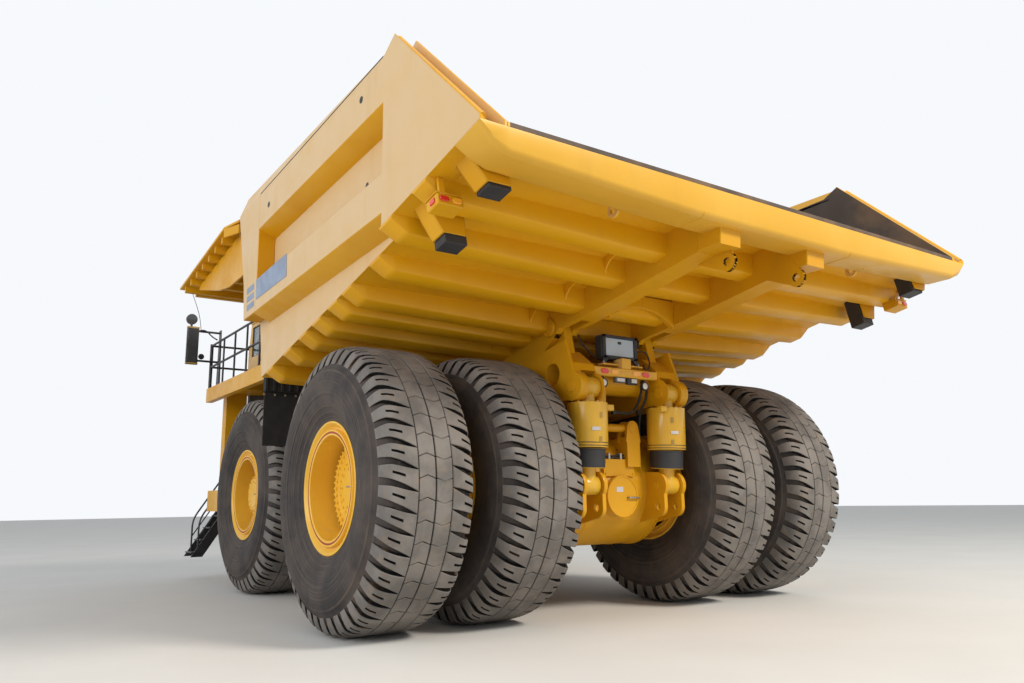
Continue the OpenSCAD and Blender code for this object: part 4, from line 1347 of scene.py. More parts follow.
@dataclass
class BedSides:
    """Side walls: sheet, two folded rails, ridge strip, front post, rear panel with its round edge, and stripes."""

    finish: Finishes
    shape: BedShape = BedShape()
    rail_depth: float = 0.66
    band_depth: float = 0.6
    post_y: float = -2.73
    post_top_y: float = -3.95
    foot_y: float = -3.38
    edge_r: float = 0.05
    # How far the rails' undersides slope down to the sheet
    skirt: float = 0.13
    # Rear end and radius of the seam on the top rail
    seam: tuple[float, float] = (2.15, 0.006)
    hole_r: float = 0.05
    long_stripe: Profile = ((-2.70, 5.24), (-1.20, 5.30), (-1.23, 5.68), (-2.74, 5.60))
    short_stripes: int = 3
    stripe_low: float = 5.13
    stripe_pitch: float = 0.155
    # Middles of the drain and lamp holes as [y, z], on the top rail and in the recess
    rail_holes: tuple[tuple[float, float], ...] = ((1.5, 7.1), (-2.25, 6.82))
    recess_holes: tuple[tuple[float, float], ...] = ((1.09, 6.08), (-1.87, 5.88))

    def rail(self, y0: float, y1: float, z: float, first: Sequence[Sequence[float]],
             last: Sequence[Sequence[float]]) -> Form:
        """A folded rail as a loft between two sections of [x, height above its line].

        Args:
            y0: Front end.
            y1: Rear end.
            z: Height of its line over the axle.
            first: Section at the front end.
            last: Section at the rear end.

        Returns:
            The closed shape.
        """
        rows = [[(x, y, self.shape.side_at(z, y) + h) for x, h in section] for y, section in ((y0, first), (y1, last))]
        return loft(rows[::-1])

    def wall(self, outline: Sequence[Sequence[float]], x0: float, x1: float, chamfer: float = 0.006) -> Form:
        """A plate of [y, z] points between two values of x."""
        return plate(outline, x1 - x0, (x0, 0, 0), Y_AXIS, Z_AXIS, chamfer)

    def metal(self) -> Form:
        """Every steel part of the left wall: flat plates, and lofts between their sections.

        Returns:
            The parts as one shape.
        """
        b = self.shape
        low = b.side_at(b.band - self.band_depth, self.post_y)
        post_top = (self.post_top_y, b.side_at(b.top, self.post_top_y))
        foot = (self.foot_y, b.side_at(b.band - self.band_depth, self.foot_y))
        tail = [(b.tail, b.floor_at(b.tail)), (b.tail, b.floor_at(b.tail) + 0.06)]
        top = [b.peak, (b.panel_y, b.side_at(b.top, b.panel_y))]
        sheet = [(-3.165, b.floor_at(-3.165)), *tail, *top, post_top, (-3.48, 5.67), foot]
        panel = np.array([(b.panel_y, b.floor_at(b.panel_y)), *tail, *top])
        pulled = panel - [(0, 0), (0.17, 0.036), (0.17, 0.036), (0.12, 0.12), (0, 0)]
        face = b.half - 0.003
        rail = [(b.sheet, -self.rail_depth - self.skirt), (face - 0.012, -self.rail_depth - 0.005),
                (face, -self.rail_depth + 0.012), (face, -0.012), (face - 0.012, 0.0), (b.sheet, 0.0)]
        band = [(b.sheet, -self.band_depth - self.skirt), (face - 0.012, -self.band_depth - 0.005),
                (face, -self.band_depth + 0.012), (face, -0.07), (face - 0.06, -0.004), (b.sheet, 0.0)]

        def ridge(up: float) -> list[tuple[float, float]]:
            """Section of the strip above the rail, leaning in to the ridge."""
            return [(b.inner, -0.06), (b.half - 0.008, -0.06), (b.half - 0.008, 0.008), (b.half - 0.15, up),
                    (b.half - 0.2, up), (b.inner, up - 0.19)]

        edge = np.array([(b.half - self.edge_r, b.tail - 0.04, b.floor_at(b.tail) + 0.045),
                         (b.half - self.edge_r, b.peak[0] + 0.03, b.peak[1] - 0.09)])
        return joined([
            self.wall(sheet, b.inner, b.sheet),
            self.wall([foot, (self.post_y, low), (self.post_y, b.side_at(b.top, self.post_y)), post_top, (-3.48, 5.67)],
                      b.sheet, b.half, 0.01),
            loft([[(b.sheet, y, z) for y, z in pulled], [(b.half - 0.006, y, z) for y, z in panel],
                  [(b.half, y, z) for y, z in panel + [(0.006, 0.004), (-0.006, 0.004), (-0.006, -0.008), (0, -0.008),
                                                       (0.006, -0.006)]]]),
            self.rail(self.post_y - 0.1, b.panel_y + 0.05, b.top, rail, rail),
            self.rail(self.post_y - 0.1, b.panel_y + 0.05, b.band, band, band),
            self.rail(post_top[0], 2.3, b.top, ridge(0.388), ridge(0.145)),
            tube(np.linspace(edge[0], edge[1], 4), self.edge_r, 16)])

    def marks(self) -> tuple[Form, Form]:
        """Marks of the left wall: thin black discs as painted shade for the holes, a thin bar as seam, and
        four-cornered plates as stripes.

        Returns:
            The dark insets (the holes' painted shade, and the seam), and the stripes.
        """
        x = self.shape.half
        # The holes are black discs on the surface: painted shade in place of their dark insides
        hole = disc(self.hole_r, 0.003, 0.001, 20)
        dark = [scatter(hole, [(x - 0.001, y, z) for y, z in self.rail_holes], X_AXIS),
                scatter(hole, [(self.shape.sheet - 0.001, y, z) for y, z in self.recess_holes], X_AXIS)]
        ends = [(x - 0.004, y, self.shape.side_at(self.shape.top, y)) for y in (self.post_y, self.seam[0])]
        dark.append(tube(np.linspace(ends[0], ends[1], 3), self.seam[1], 6))
        bars = [self.long_stripe]
        for k in range(self.short_stripes):
            ahead, low = 0.02 * k, self.stripe_low + self.stripe_pitch * k
            bars.append(((-3.2 - ahead, low), (-2.80 - ahead, low + 0.02), (-2.81 - ahead, low + 0.13),
                         (-3.21 - ahead, low + 0.11)))
        stripes = [plate(bar, 0.004, (x - 0.001, 0, 0), Y_AXIS, Z_AXIS, 0.001) for bar in bars]
        return joined(dark), joined(stripes)

    def build(self) -> None:
        """Builds both side walls in place of the plain ones."""
        f, metal = self.finish, self.metal()
        dark, stripes = self.marks()
        for side in Side:
            piece = Piece(f"side_wall_{side.name.lower()}", f.sheened_flank)
            for form, material in ((metal, f.sheened_flank), (dark, f.satin), (stripes, f.stripe)):
                piece.add(form if side is Side.LEFT else form.mirrored(), material)
            shown = piece.build("bed")
            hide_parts(f"bed_side_{side.name.lower()}")


@dataclass
class BedUnderside:
    """Tail beam, cross bolsters, gussets, rail ends, hinge caps, exhaust boxes and tail lamps."""

    finish: Finishes
    shape: BedShape = BedShape()
    beam_y: float = 3.95
    seam_x: float = 1.55
    # The beam's underside between its seams, and outside them as [across, height]
    beam_low: float = 5.18
    beam_ends: Profile = ((4.84, 5.56), (4.68, 5.37), (4.46, 5.285))
    bolster_w: float = 0.4
    bolster_d: float = 0.3
    lip: float = 0.045
    # Depth of a bolster near its end, as [distance from the end, depth]
    bolster_end: Profile = ((0.0, 0.03), (0.17, 0.17), (0.21, 0.197), (0.25, 0.203))
    # Bolsters as [middle behind the rear axle, half length]
    bolsters: tuple[tuple[float, float], ...] = ((3.15, 4.84), (2.3, 4.84), (1.375, 4.54), (0.465, 4.54), (-0.04, 4.54),
                                                 (-0.655, 4.54), (-1.215, 4.54), (-1.9, 4.54), (-2.75, 4.54))
    # Bolsters with a gusset between them and the next, from the tail on
    gusseted: int = 7
    rail_x: float = 0.9
    rail_half: float = 0.2
    arch_r: float = 1.07
    arch_z: float = 3.72
    hinge: Point = (1.108, 0.68, 4.53)
    cap_depth: float = 0.042
    eye: Point = (2.5, 3.83, 5.27)
    # Exhaust boxes: front behind the rear axle, depth of the plates, and how far the black block of painted shade hangs
    # out below them
    exhausts: tuple[Point, ...] = ((2.65, 0.395, 0.11), (3.62, 0.29, 0.04))
    lamp_x: float = 4.59

    def beam(self) -> tuple[Form, Form]:
        """The tail beam as a loft across the bed, shallower outside its seams, and its two weld seams.

        Returns:
            The beam, and the seams.
        """
        b = self.shape
        stations = (*self.beam_ends, (self.seam_x, self.beam_low))

        def row(x: float, low: float, grow: float = 0.0) -> list[Point]:
            """Section of the beam, held under the floor.

            Args:
                x: Place across the bed.
                low: Height of its underside.
                grow: How far its faces are moved out.

            Returns:
                The section's points.
            """
            ends = [(self.beam_y, low + 0.02), (self.beam_y, 9.0), (b.tail, 9.0), (b.tail, low + 0.085),
                    (b.tail - 0.014, low + 0.055), (b.tail - 0.05, low + 0.018), (b.tail - 0.08, low + 0.01),
                    (self.beam_y + 0.06, low)]
            return [(x, y + grow * (1 if y > 4.2 else -1), min(z - grow * (z < 9), b.floor_at(y) - 0.004 * (z < 9)))
                    for y, z in ends]

        rows = [row(x, low) for x, low in stations] + [row(-x, low) for x, low in stations[::-1]]
        inside = (b.half, b.tail - 0.0085, b.top)
        paths = [np.array(row(s * self.seam_x, self.beam_low, -0.002))[3:] for s in (1, -1)]
        return loft(rows[::-1]), joined([tube(np.minimum(path, inside), 0.008, 6) for path in paths])

    def bolster(self, y: float, length: float) -> Form:
        """One bolster as a loft along X, in the floor's frame: shallow sloped ends, deepest at the long rails.

        Args:
            y: Its middle behind the rear axle.
            length: Half of its length.

        Returns:
            The closed shape.
        """
        w, up, taper = self.bolster_w / 2, self.shape.up_floor(y), 0.04
        rows = []
        for x, d in (*((length - pulled, depth) for pulled, depth in self.bolster_end), (1.7, self.bolster_d)):
            lip = min(self.lip, d / 2)
            half = ((w, 0), (w - taper, lip - d), (w - taper - lip * 0.4, 0.3 * lip - d), (w - taper - lip, -d))
            section = [(-half[0][0], half[0][1]), *half, *[(-v, z) for v, z in half[:0:-1]]]
            rows.append([(x, up + v, z) for v, z in section])
        return loft(rows + [[(-x, v, z) for x, v, z in row] for row in rows[::-1]])

    def gusset(self, y0: float, y1: float) -> Form:
        """An arched plate between two bolsters, in the floor's frame.

        Args:
            y0: Middle of the front bolster.
            y1: Middle of the rear bolster.

        Returns:
            The plate of the left side.
        """
        a, b = self.shape.up_floor(y0) + 0.14, self.shape.up_floor(y1) - 0.14
        turn = np.linspace(math.pi * 0.93, math.pi * 0.07, 12)
        r = (b - a) / 2 - 0.02
        arc = np.stack([(a + b) / 2 + r * np.cos(turn), -0.27 + np.minimum(r, 0.2) * np.sin(turn)], 1)
        outline = np.concatenate([[(a, -0.25)], arc, [(b, -0.25), (b, 0.0), (a, 0.0)]])
        return plate(outline, 0.03, (1.465, 0, 0), Y_AXIS, Z_AXIS)

    def rails(self) -> Form:
        """What the left long rail carries: tail end, hinge cap with its bolts, and the half of the arched plate.

        The arch is a quarter of the circle (r cos a, middle + r sin a), cut where it meets the rail.

        Returns:
            The parts as one shape.
        """
        b, r, arch_z = self.shape, self.arch_r, self.arch_z
        x0, x1 = self.rail_x - self.rail_half, self.rail_x + self.rail_half
        tail = [(3.88, b.floor_at(3.88)), (3.88, b.floor_at(3.9) - 0.516), (4.0, b.floor_at(3.9) - 0.51),
                (4.28, 4.97), (4.3, 5.2), (self.beam_y + 0.06, 5.19), (self.beam_y, b.floor_at(self.beam_y))]
        turn = np.linspace(math.acos(x0 / r), math.pi / 2, 14)
        top = b.floor_at(1.6) - 0.002
        arch = np.concatenate([[(0.0, top), (0.0, arch_z + r)],
                               np.stack([r * np.cos(turn), arch_z + r * np.sin(turn)], 1)[::-1][1:], [(x0, top)]])
        cap = disc(0.155, self.cap_depth, 0.008, 48)
        hinge = np.array(self.hinge)
        return joined([
            plate(tail, x1 - x0 - 0.006, (x0 + 0.003, 0, 0), Y_AXIS, Z_AXIS, 0.01),
            plate(arch, 0.1, (0, 1.7, 0), X_AXIS, Z_AXIS, 0.006),
            scatter(cap, [hinge], X_AXIS),
            scatter(bolt(0.02, 0.016), circle(0.118, 6, hinge + (self.cap_depth, 0, 0), X_AXIS), X_AXIS)])

    def boxes(self) -> tuple[Form, Form]:
        """The two exhaust boxes of the left side, in the floor's frame.

        Returns:
            Their sloped plates, and a black block in each, painted shade for the box's dark open inside.
        """
        x = self.shape.half - 0.41
        sloped, square = [], []
        for front, depth, drop in self.exhausts:
            y = self.shape.up_floor(front)
            face = [(x - 0.31, 0.0), (x - 0.31, -depth), (x, -depth), (x + 0.2, 0.0)]
            for at in (y + 0.02, y + 0.28):
                sloped.append(plate(face, 0.022, (0, at, 0), X_AXIS, Z_AXIS))
            side = [(x + 0.2, 0.0), (x, -depth), (x - 0.022, -depth), (x + 0.178, 0.0)]
            sloped.append(loft([[(u, at, v) for u, v in side] for at in (y + 0.27, y)]))
            # A satin black block is painted shade: it stands for the box's open inside, dark in shadow
            square.append(block((x - 0.335, y - 0.004, -depth - drop), (x - 0.03, y + 0.25, -0.01), 0.006))
        return joined(sloped), joined(square)

    def lamps(self, piece: Piece, side: Side) -> None:
        """Adds one side's tail lamp box, bracket and lenses.

        Args:
            piece: The piece.
            side: The side.
        """
        f, x, y = self.finish, self.lamp_x, self.shape.up_floor(3.13)
        side_lens = [(-0.05, -0.03), (0.05, -0.03), (0.05, 0.03), (-0.05, 0.03)]
        parts = [(block((x - 0.17, y, -0.35), (x + 0.17, y + 0.26, -0.21), 0.012), f.yellow),
                 (block((x + 0.06, y + 0.226, -0.22), (x + 0.14, y + 0.262, 0.0), 0.004), f.yellow),
                 (block((x - 0.185, y - 0.01, -0.212), (x + 0.185, y + 0.27, -0.2), 0.003), f.yellow),
                 (lens(x + 0.085, 0.062, y + 0.258, -0.28), f.red),
                 (lens(x - 0.08, 0.062, y + 0.258, -0.28), f.amber),
                 (plate(side_lens, 0.018, (x + 0.168, y + 0.15, -0.28), Y_AXIS, Z_AXIS, 0.005), f.red)]
        for form, material in parts:
            form = self.shape.on_floor(form)
            piece.add(form if side is Side.LEFT else form.mirrored(), material)

    def build(self) -> None:
        """Builds everything under the floor."""
        f, b = self.finish, self.shape
        beam, seams = self.beam()
        eye = revolve([(-0.02, 0.05), (-0.02, 0.095), (-0.014, 0.1), (0.014, 0.1), (0.02, 0.095), (0.02, 0.05)],
                      X_AXIS, self.eye, 32, loop=True)
        ear = block((2.482, 3.76, 5.33), (2.518, 3.97, b.floor_at(3.8) + 0.01), 0.004)
        shown = Piece("tail_beam_welded", f.beam).add(beam).add(seams, f.yellow).both(eye).both(ear).build("bed")
        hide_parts("tail_beam")
        cross = joined([b.on_floor(self.bolster(y, half)) for y, half in self.bolsters])
        middles = [y for y, _ in self.bolsters[:self.gusseted]]
        gussets = joined([b.on_floor(self.gusset(y0, y1)) for y0, y1 in zip(middles[1:], middles)])
        shown = Piece("cross_bolsters", f.under).add(cross).both(gussets).build("bed")
        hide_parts("bed_bolsters")
        Piece("rail_ends_and_caps", f.yellow).both(self.rails()).build("bed")
        sloped, square = self.boxes()
        # The satin black blocks are painted shade inside the boxes
        outlets = Piece("exhaust_outlets", f.yellow).both(b.on_floor(sloped)).both(b.on_floor(square), f.satin)
        shown = outlets.build("bed")
        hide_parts("exhaust_boxes")
        lamps = Piece("tail_lamp_boxes", f.yellow)
        for side in Side:
            self.lamps(lamps, side)
        shown = lamps.build("bed")
        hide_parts("tail_lamps")


@dataclass
class Canopy:
    """Canopy over the cab and deck: sloped plate with cut corners, ribs, lip, fascias and side gussets."""

    finish: Finishes
    shape: BedShape = BedShape()
    half: float = 5.0
    front: float = -7.81
    root: tuple[float, float] = (-3.96, 7.03)
    rise: float = 0.125
    thickness: float = 0.05
    rib_depth: float = 0.14
    rib_width: float = 0.09
    rib_pitch: float = 0.47
    rib_count: int = 8
    wing_y: float = -4.4
    # Depth of the rib under the front edge
    lip_depth: float = 0.12
    fascia_depth: float = 0.17
    fascia_sheet: float = 0.035

    def at(self, y: float) -> float:
        """Height of the plate's underside."""
        return self.root[1] + (y - self.root[0]) * self.rise

    def beam(self, y: float, depth: float, half: float) -> Form:
        """A rib across the canopy, its top on the plate's underside.

        Args:
            y: Its front.
            depth: Its depth.
            half: Half of its length.

        Returns:
            The closed shape.
        """
        ends = ((y, self.at(y)), (y + self.rib_width, self.at(y + self.rib_width)))
        section = [*ends, *((v, z - depth) for v, z in ends[::-1])]
        return loft([[(x, v, z) for v, z in section] for x in (half, -half)])

    def gusset(self) -> Form:
        """The left side's web under the canopy: a flat plate with a quarter circle at its foot.

        Returns:
            The closed plate.
        """
        low = self.at(-7.15) - 0.12
        turn = np.linspace(-0.5 * math.pi, 0.0, 8)
        bend = np.stack([-3.97 + 0.3 * np.cos(turn), 6.42 + 0.3 * np.sin(turn)], 1)
        outline = [(-3.585, 6.0), *bend, (-3.83, 6.9), (-4.5, self.at(-4.5) - 0.12), (-7.15, low),
                   (-7.15, low - 0.08), (-5.5, 6.05), (-4.8, 5.96)]
        return plate(outline, 0.04, (self.shape.half - 0.14, 0, 0), Y_AXIS, Z_AXIS)

    def build(self) -> None:
        """Builds the canopy in place of the plain one."""
        (root_y, root_z), b = self.root, self.shape
        left = [(self.half, self.front), (self.half, self.wing_y), (b.half, root_y)]
        plan = [(-left[0][0], left[0][1]), *left, *[(-x, y) for x, y in left[:0:-1]]]
        outline = [(x, (y - root_y) * math.hypot(1.0, self.rise)) for x, y in plan]
        piece = Piece("canopy_ribbed", self.finish.yellow)
        piece.add(plate(outline, self.thickness, (0, root_y, root_z), X_AXIS, (0, 1, self.rise), 0.006))
        piece.add(block((-b.inner, root_y - 0.01, root_z), (b.inner, root_y + 0.08, root_z + self.thickness), 0.004))
        for i in range(self.rib_count):
            inset = 0.06 if i else 0.25
            piece.add(self.beam(root_y - 0.35 - self.rib_pitch * i, self.rib_depth, self.half - inset))
        piece.add(self.beam(self.front, self.lip_depth, self.half - 0.34))
        top = self.at(self.wing_y) + 0.005
        low = top - self.fascia_depth
        for s in (1.0, -1.0):
            ends = [(s * self.half, self.wing_y), (s * (b.half + 0.006), root_y - 0.004)]
            inner = s * self.fascia_sheet
            piece.add(loft([[(x, y, low), (x, y, top), (x - inner, y, top), (x - inner, y, low)] for x, y in ends]))
        piece.both(self.gusset())
        shown = piece.build("bed")
        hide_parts("canopy")


# ---------------------------------------------------------------- frame and axle


# Hoses between the boxes, the cross tube and the axle: the route's corners and the radius
REAR_HOSES: tuple[tuple[tuple[Point, ...], float], ...] = (
    (((-0.3, 1.0, 4.24), (-0.46, 1.06, 4.27), (-0.56, 1.0, 4.38), (-0.6, 0.9, 4.5)), 0.014),
    (((-0.32, 1.02, 4.2), (-0.6, 1.1, 4.24), (-0.66, 1.14, 4.08), (-0.62, 1.16, 3.93), (-0.5, 1.18, 3.9),
      (-0.49, 1.16, 3.99)), 0.012),
    (((0.66, 1.14, 3.76), (0.67, 1.2, 3.83), (0.6, 1.24, 3.86), (0.55, 1.22, 3.8)), 0.01),
    (((0.69, 0.9, 4.42), (0.66, 0.94, 4.28), (0.56, 0.98, 4.17), (0.44, 0.98, 4.06)), 0.012),
    (((-0.46, 1.13, 3.72), (-0.47, 1.1, 3.52), (-0.45, 1.0, 3.3), (-0.3, 1.0, 3.17), (0.08, 1.0, 3.18)), 0.022),
    (((-0.58, 1.12, 3.6), (-0.6, 1.06, 3.4), (-0.52, 1.0, 3.22), (-0.5, 0.98, 3.0), (-0.52, 0.95, 2.75),
      (-0.42, 0.92, 2.56), (-0.3, 0.9, 2.5)), 0.02),
    (((0.3, 0.93, 2.46), (0.1, 0.95, 2.47), (-0.1, 0.95, 2.49), (-0.4, 0.93, 2.49), (-0.6, 0.85, 2.5)), 0.016),
    (((0.28, 0.97, 2.44), (0.0, 0.98, 2.445), (-0.25, 0.97, 2.44), (-0.45, 0.9, 2.46)), 0.012))


@dataclass
class RearFrame:
    """Lamp bar, screen box, modules and clamped hoses between the frame's ears, and the caps of the strut pins."""

    finish: Finishes
    bar_half: float = 0.69
    bar_y: tuple[float, float] = (1.18, 1.28)
    bar_z: tuple[float, float] = (3.72, 3.86)
    lens_x: tuple[float, ...] = (0.48, 0.27, -0.2, -0.41)
    lens_z: float = 3.79
    lens_half: tuple[float, float] = (0.078, 0.04)
    # Screws beside a lens, from its middle
    screw_x: float = 0.092
    stand_half: float = 0.1
    screen_half: float = 0.38
    screen_y: tuple[float, float] = (0.93, 1.12)
    screen_z: tuple[float, float] = (4.03, 4.43)
    # The screen's guard: width of its sides, top and foot, and its depth
    guard: tuple[float, float, float, float] = (0.07, 0.05, 0.055, 0.03)
    round_lamp: Point = (0.45, 1.2, 3.615)
    housing: Profile = ((-0.06, 0.0), (-0.06, 0.05), (-0.01, 0.074), (0.022, 0.078), (0.03, 0.07), (0.024, 0.062),
                        (0.018, 0.0))
    lamp_glass: Profile = ((0.018, 0.0), (0.018, 0.061), (0.026, 0.05), (0.033, 0.0))
    # The struts' upper and lower pins: middle in [y, z] and the faces of the ears they stand in
    pin: tuple[float, float] = (1.27, 3.505)
    ear_x: tuple[float, float] = (0.692, 1.158)
    low_pin: tuple[float, float] = (1.2, 2.0)
    low_ear_x: tuple[float, float] = (0.62, 1.08)
    cap: Profile = ((0.0, 0.11), (0.012, 0.11), (0.012, 0.06), (0.03, 0.055), (0.03, 0.0))
    clamp_x: tuple[float, ...] = (0.2, -0.05, -0.3)

    def bar(self) -> None:
        """Builds the bar with its four lenses, the stand and the screen in its guard."""
        f, z = self.finish, self.lens_z
        (y0, y1), (z0, z1) = self.bar_y, self.bar_z
        piece = Piece("rear_lamp_bar_fitted", f.beam)
        piece.add(block((-self.bar_half, y0, z0), (self.bar_half, y1, z1), 0.014))
        piece.add(block((-self.stand_half, 1.07, z1), (self.stand_half, y1, self.screen_z[0]), 0.008))
        for x, glass in zip(self.lens_x, (f.red, f.amber, f.amber, f.red)):
            piece.add(lens(x, self.lens_half[0], y1 - 0.004, z, self.lens_half[1]), glass)
            for s in (-1, 1):
                piece.add(scatter(bolt(0.007, 0.006), [(x + s * self.screw_x, y1, z)], Y_AXIS), f.zinc)
        piece.add(block((-0.05, y1 - 0.004, z - 0.025), (0.12, y1 + 0.004, z + 0.025), 0.002))
        self.screen(piece)
        shown = piece.build("chassis")
        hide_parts("rear_lamp_bar")

    def screen(self, piece: Piece) -> None:
        """Adds the screen's box, glass, guard, handle, legs and shelf.

        Args:
            piece: The piece.
        """
        f = self.finish
        (y0, y1), (z0, z1), h = self.screen_y, self.screen_z, self.screen_half
        side, top, foot, deep = self.guard
        piece.add(block((-h, y0, z0), (h, y1, z1), 0.025), f.satin)
        piece.add(block((-h + side, y1 - 0.004, z0 + foot), (h - side, y1 + 0.004, z1 - top), 0.003), f.screen)
        for low, high in (((-h, z1 - top), (h, z1)), ((-h, z0), (h, z0 + foot)), ((-h, z0), (-h + side, z1)),
                          ((h - side, z0), (h, z1))):
            piece.add(block((low[0], y1, low[1]), (high[0], y1 + deep, high[1]), 0.008), f.satin)
        piece.add(block((-0.035, y1, z0 + 0.26), (0.035, y1 + 0.02, z0 + 0.3), 0.006), f.satin)
        for s in (1, -1):
            leg = [(s * (h - 0.03), z0 + 0.04), (s * (h + 0.05), z0 - 0.09), (s * (h - 0.04), z0 - 0.09),
                   (s * (h - 0.13), z0 + 0.02)]
            piece.add(plate(leg if s < 0 else leg[::-1], deep, (0, y1 + deep, 0), X_AXIS, Z_AXIS), f.satin)
            piece.add(scatter(bolt(0.012, 0.012), [(s * h, y1 + deep, z0 - 0.06)], Y_AXIS), f.zinc)
        piece.add(block((-h - 0.05, 1.05, z0 - 0.115), (h + 0.05, 1.2, z0 - 0.088), 0.004))

    def modules(self) -> None:
        """Builds the round lamps, the two labelled modules under the bar, and the pin caps."""
        f = self.finish
        piece = Piece("rear_modules_and_caps", f.satin)
        half, y, z = self.round_lamp
        for x in (half, -half):
            piece.add(revolve(self.housing, Y_AXIS, (x, y, z), 32))
            piece.add(revolve(self.lamp_glass, Y_AXIS, (x, y, z), 32), f.white)
            piece.add(block((x - 0.02, y - 0.05, z + 0.045), (x + 0.02, y, z + 0.115), 0.004))
        for low, high, edge, material in (((0.02, 1.19, 3.63), (0.24, 1.27, 3.715), 0.01, f.iron),
                                          ((0.05, 1.268, 3.645), (0.21, 1.273, 3.7), 0.001, f.label),
                                          ((-0.25, 1.19, 3.615), (-0.02, 1.26, 3.715), 0.01, f.satin),
                                          ((-0.23, 1.258, 3.64), (-0.11, 1.264, 3.705), 0.001, f.label)):
            piece.add(block(low, high, edge), material)
        y, z = self.pin
        for s in (1.0, -1.0):
            for x, out in ((s * self.ear_x[1], s), (s * self.ear_x[0], -s)):
                piece.add(scatter(disc(0.095, 0.022, 0.006, 36), [(x, y, z)], (out, 0, 0)), f.yellow)
                piece.add(scatter(bolt(0.016, 0.014), [(x, y - 0.14, z + 0.03)], (out, 0, 0)), f.yellow)
            for x, out in ((s * self.low_ear_x[1], s), (s * self.low_ear_x[0], -s)):
                piece.add(revolve(self.cap, (out, 0, 0), (x - 0.001 * out, *self.low_pin), 32), f.yellow)
        piece.build("chassis")

    def hoses(self) -> None:
        """Builds the hoses, the clamps on the axle and the blocks where hoses end."""
        f = self.finish
        piece = Piece("clamped_hoses", f.hose)
        for route, radius in REAR_HOSES:
            piece.add(tube(rounded(route, 0.12), radius, 8))
        for x in self.clamp_x:
            piece.add(block((x - 0.018, 0.9, 2.42), (x + 0.018, 1.0, 2.52), 0.004), f.zinc)
        for at in ((0.08, 1.0, 3.18), (-0.48, 1.0, 3.2)):
            piece.add(block(np.array(at) - 0.035, np.array(at) + 0.035, 0.008))
        piece.build("chassis")

    def build(self) -> None:
        """Builds the lamp bar, modules and hoses."""
        self.bar()
        self.modules()
        self.hoses()


@dataclass
class RearStruts:
    """What the rear struts wear: black dust covers, dark rings, bolted caps, labels, tabs and valve blocks."""

    finish: Finishes
    x: float = 0.85
    barrel_r: float = 0.315
    barrel_foot: tuple[float, float] = (1.24, 2.57)
    barrel_lean: Point = (0.0, 0.03, 0.685)
    # Middle of the barrel at its labels
    label_y: float = 1.254
    cover_r: float = 0.272
    cover_foot: tuple[float, float] = (1.215, 2.27)
    cover_lean: Point = (0.0, 0.025, 0.3)
    # Dark rings: height on the barrel and how far they stand out
    rings: Profile = ((0.03, 0.0025), (0.075, 0.002))
    # Labels: side, first and last angle, lower and upper edge
    labels: tuple[tuple[float, float, float, float, float], ...] = ((1, 62, 87, 2.81, 2.865), (-1, 58, 82, 2.81, 2.86))
    # Tabs: side, angle, lower edge
    tabs: tuple[Point, ...] = ((1, 90, 3.0), (1, 88, 2.63), (-1, 62, 2.99), (-1, 62, 2.63))
    valves: tuple[tuple[Point, Point], ...] = (((0.45, 1.35, 3.14), (0.6, 1.44, 3.235)),
                                               ((-0.63, 1.42, 3.17), (-0.5, 1.52, 3.265)))

    def build(self) -> None:
        """Builds both struts' fittings."""
        f, r, c = self.finish, self.barrel_r, self.cover_r
        piece = Piece("strut_covers_and_labels", f.satin)
        cover = [(0.002, 0.2), (0.002, c - 0.008), (0.01, c), (0.296, c), (0.3, 0.26)]
        top = [(0.0, 0.17), (0.0, r - 0.03), (0.004, r - 0.012), (0.008, 0.17)]
        for s in (1.0, -1.0):
            x = s * self.x
            piece.add(revolve(cover, self.cover_lean, (x, *self.cover_foot), 48))
            for z, out in self.rings:
                ring = [(z - 0.006, r - 0.004), (z - 0.006, r + out), (z + 0.006, r + out), (z + 0.006, r - 0.004)]
                piece.add(revolve(ring, self.barrel_lean, (x, *self.barrel_foot), 64, loop=True))
            piece.add(revolve(top, self.barrel_lean, (x, 1.2605, 3.254), 48), f.strut)
            piece.add(scatter(bolt(0.018, 0.016), circle(0.25, 10, (x, 1.26, 3.258), Z_AXIS, 0.5), Z_AXIS), f.strut)
        for s, a0, a1, low, high in self.labels:
            piece.add(patch((s * self.x, self.label_y), r + 0.001, (a0, a1), (low, high), 0.0025), f.label)
        for s, angle, low in self.tabs:
            middle = (s * self.x, self.label_y + 0.03 * (low - 2.9))
            piece.add(patch(middle, r, (angle - 4, angle + 6), (low, low + 0.09), 0.002), f.tan)
        for low, high in self.valves:
            piece.add(block(low, high, 0.012), f.strut)
        piece.build("chassis")


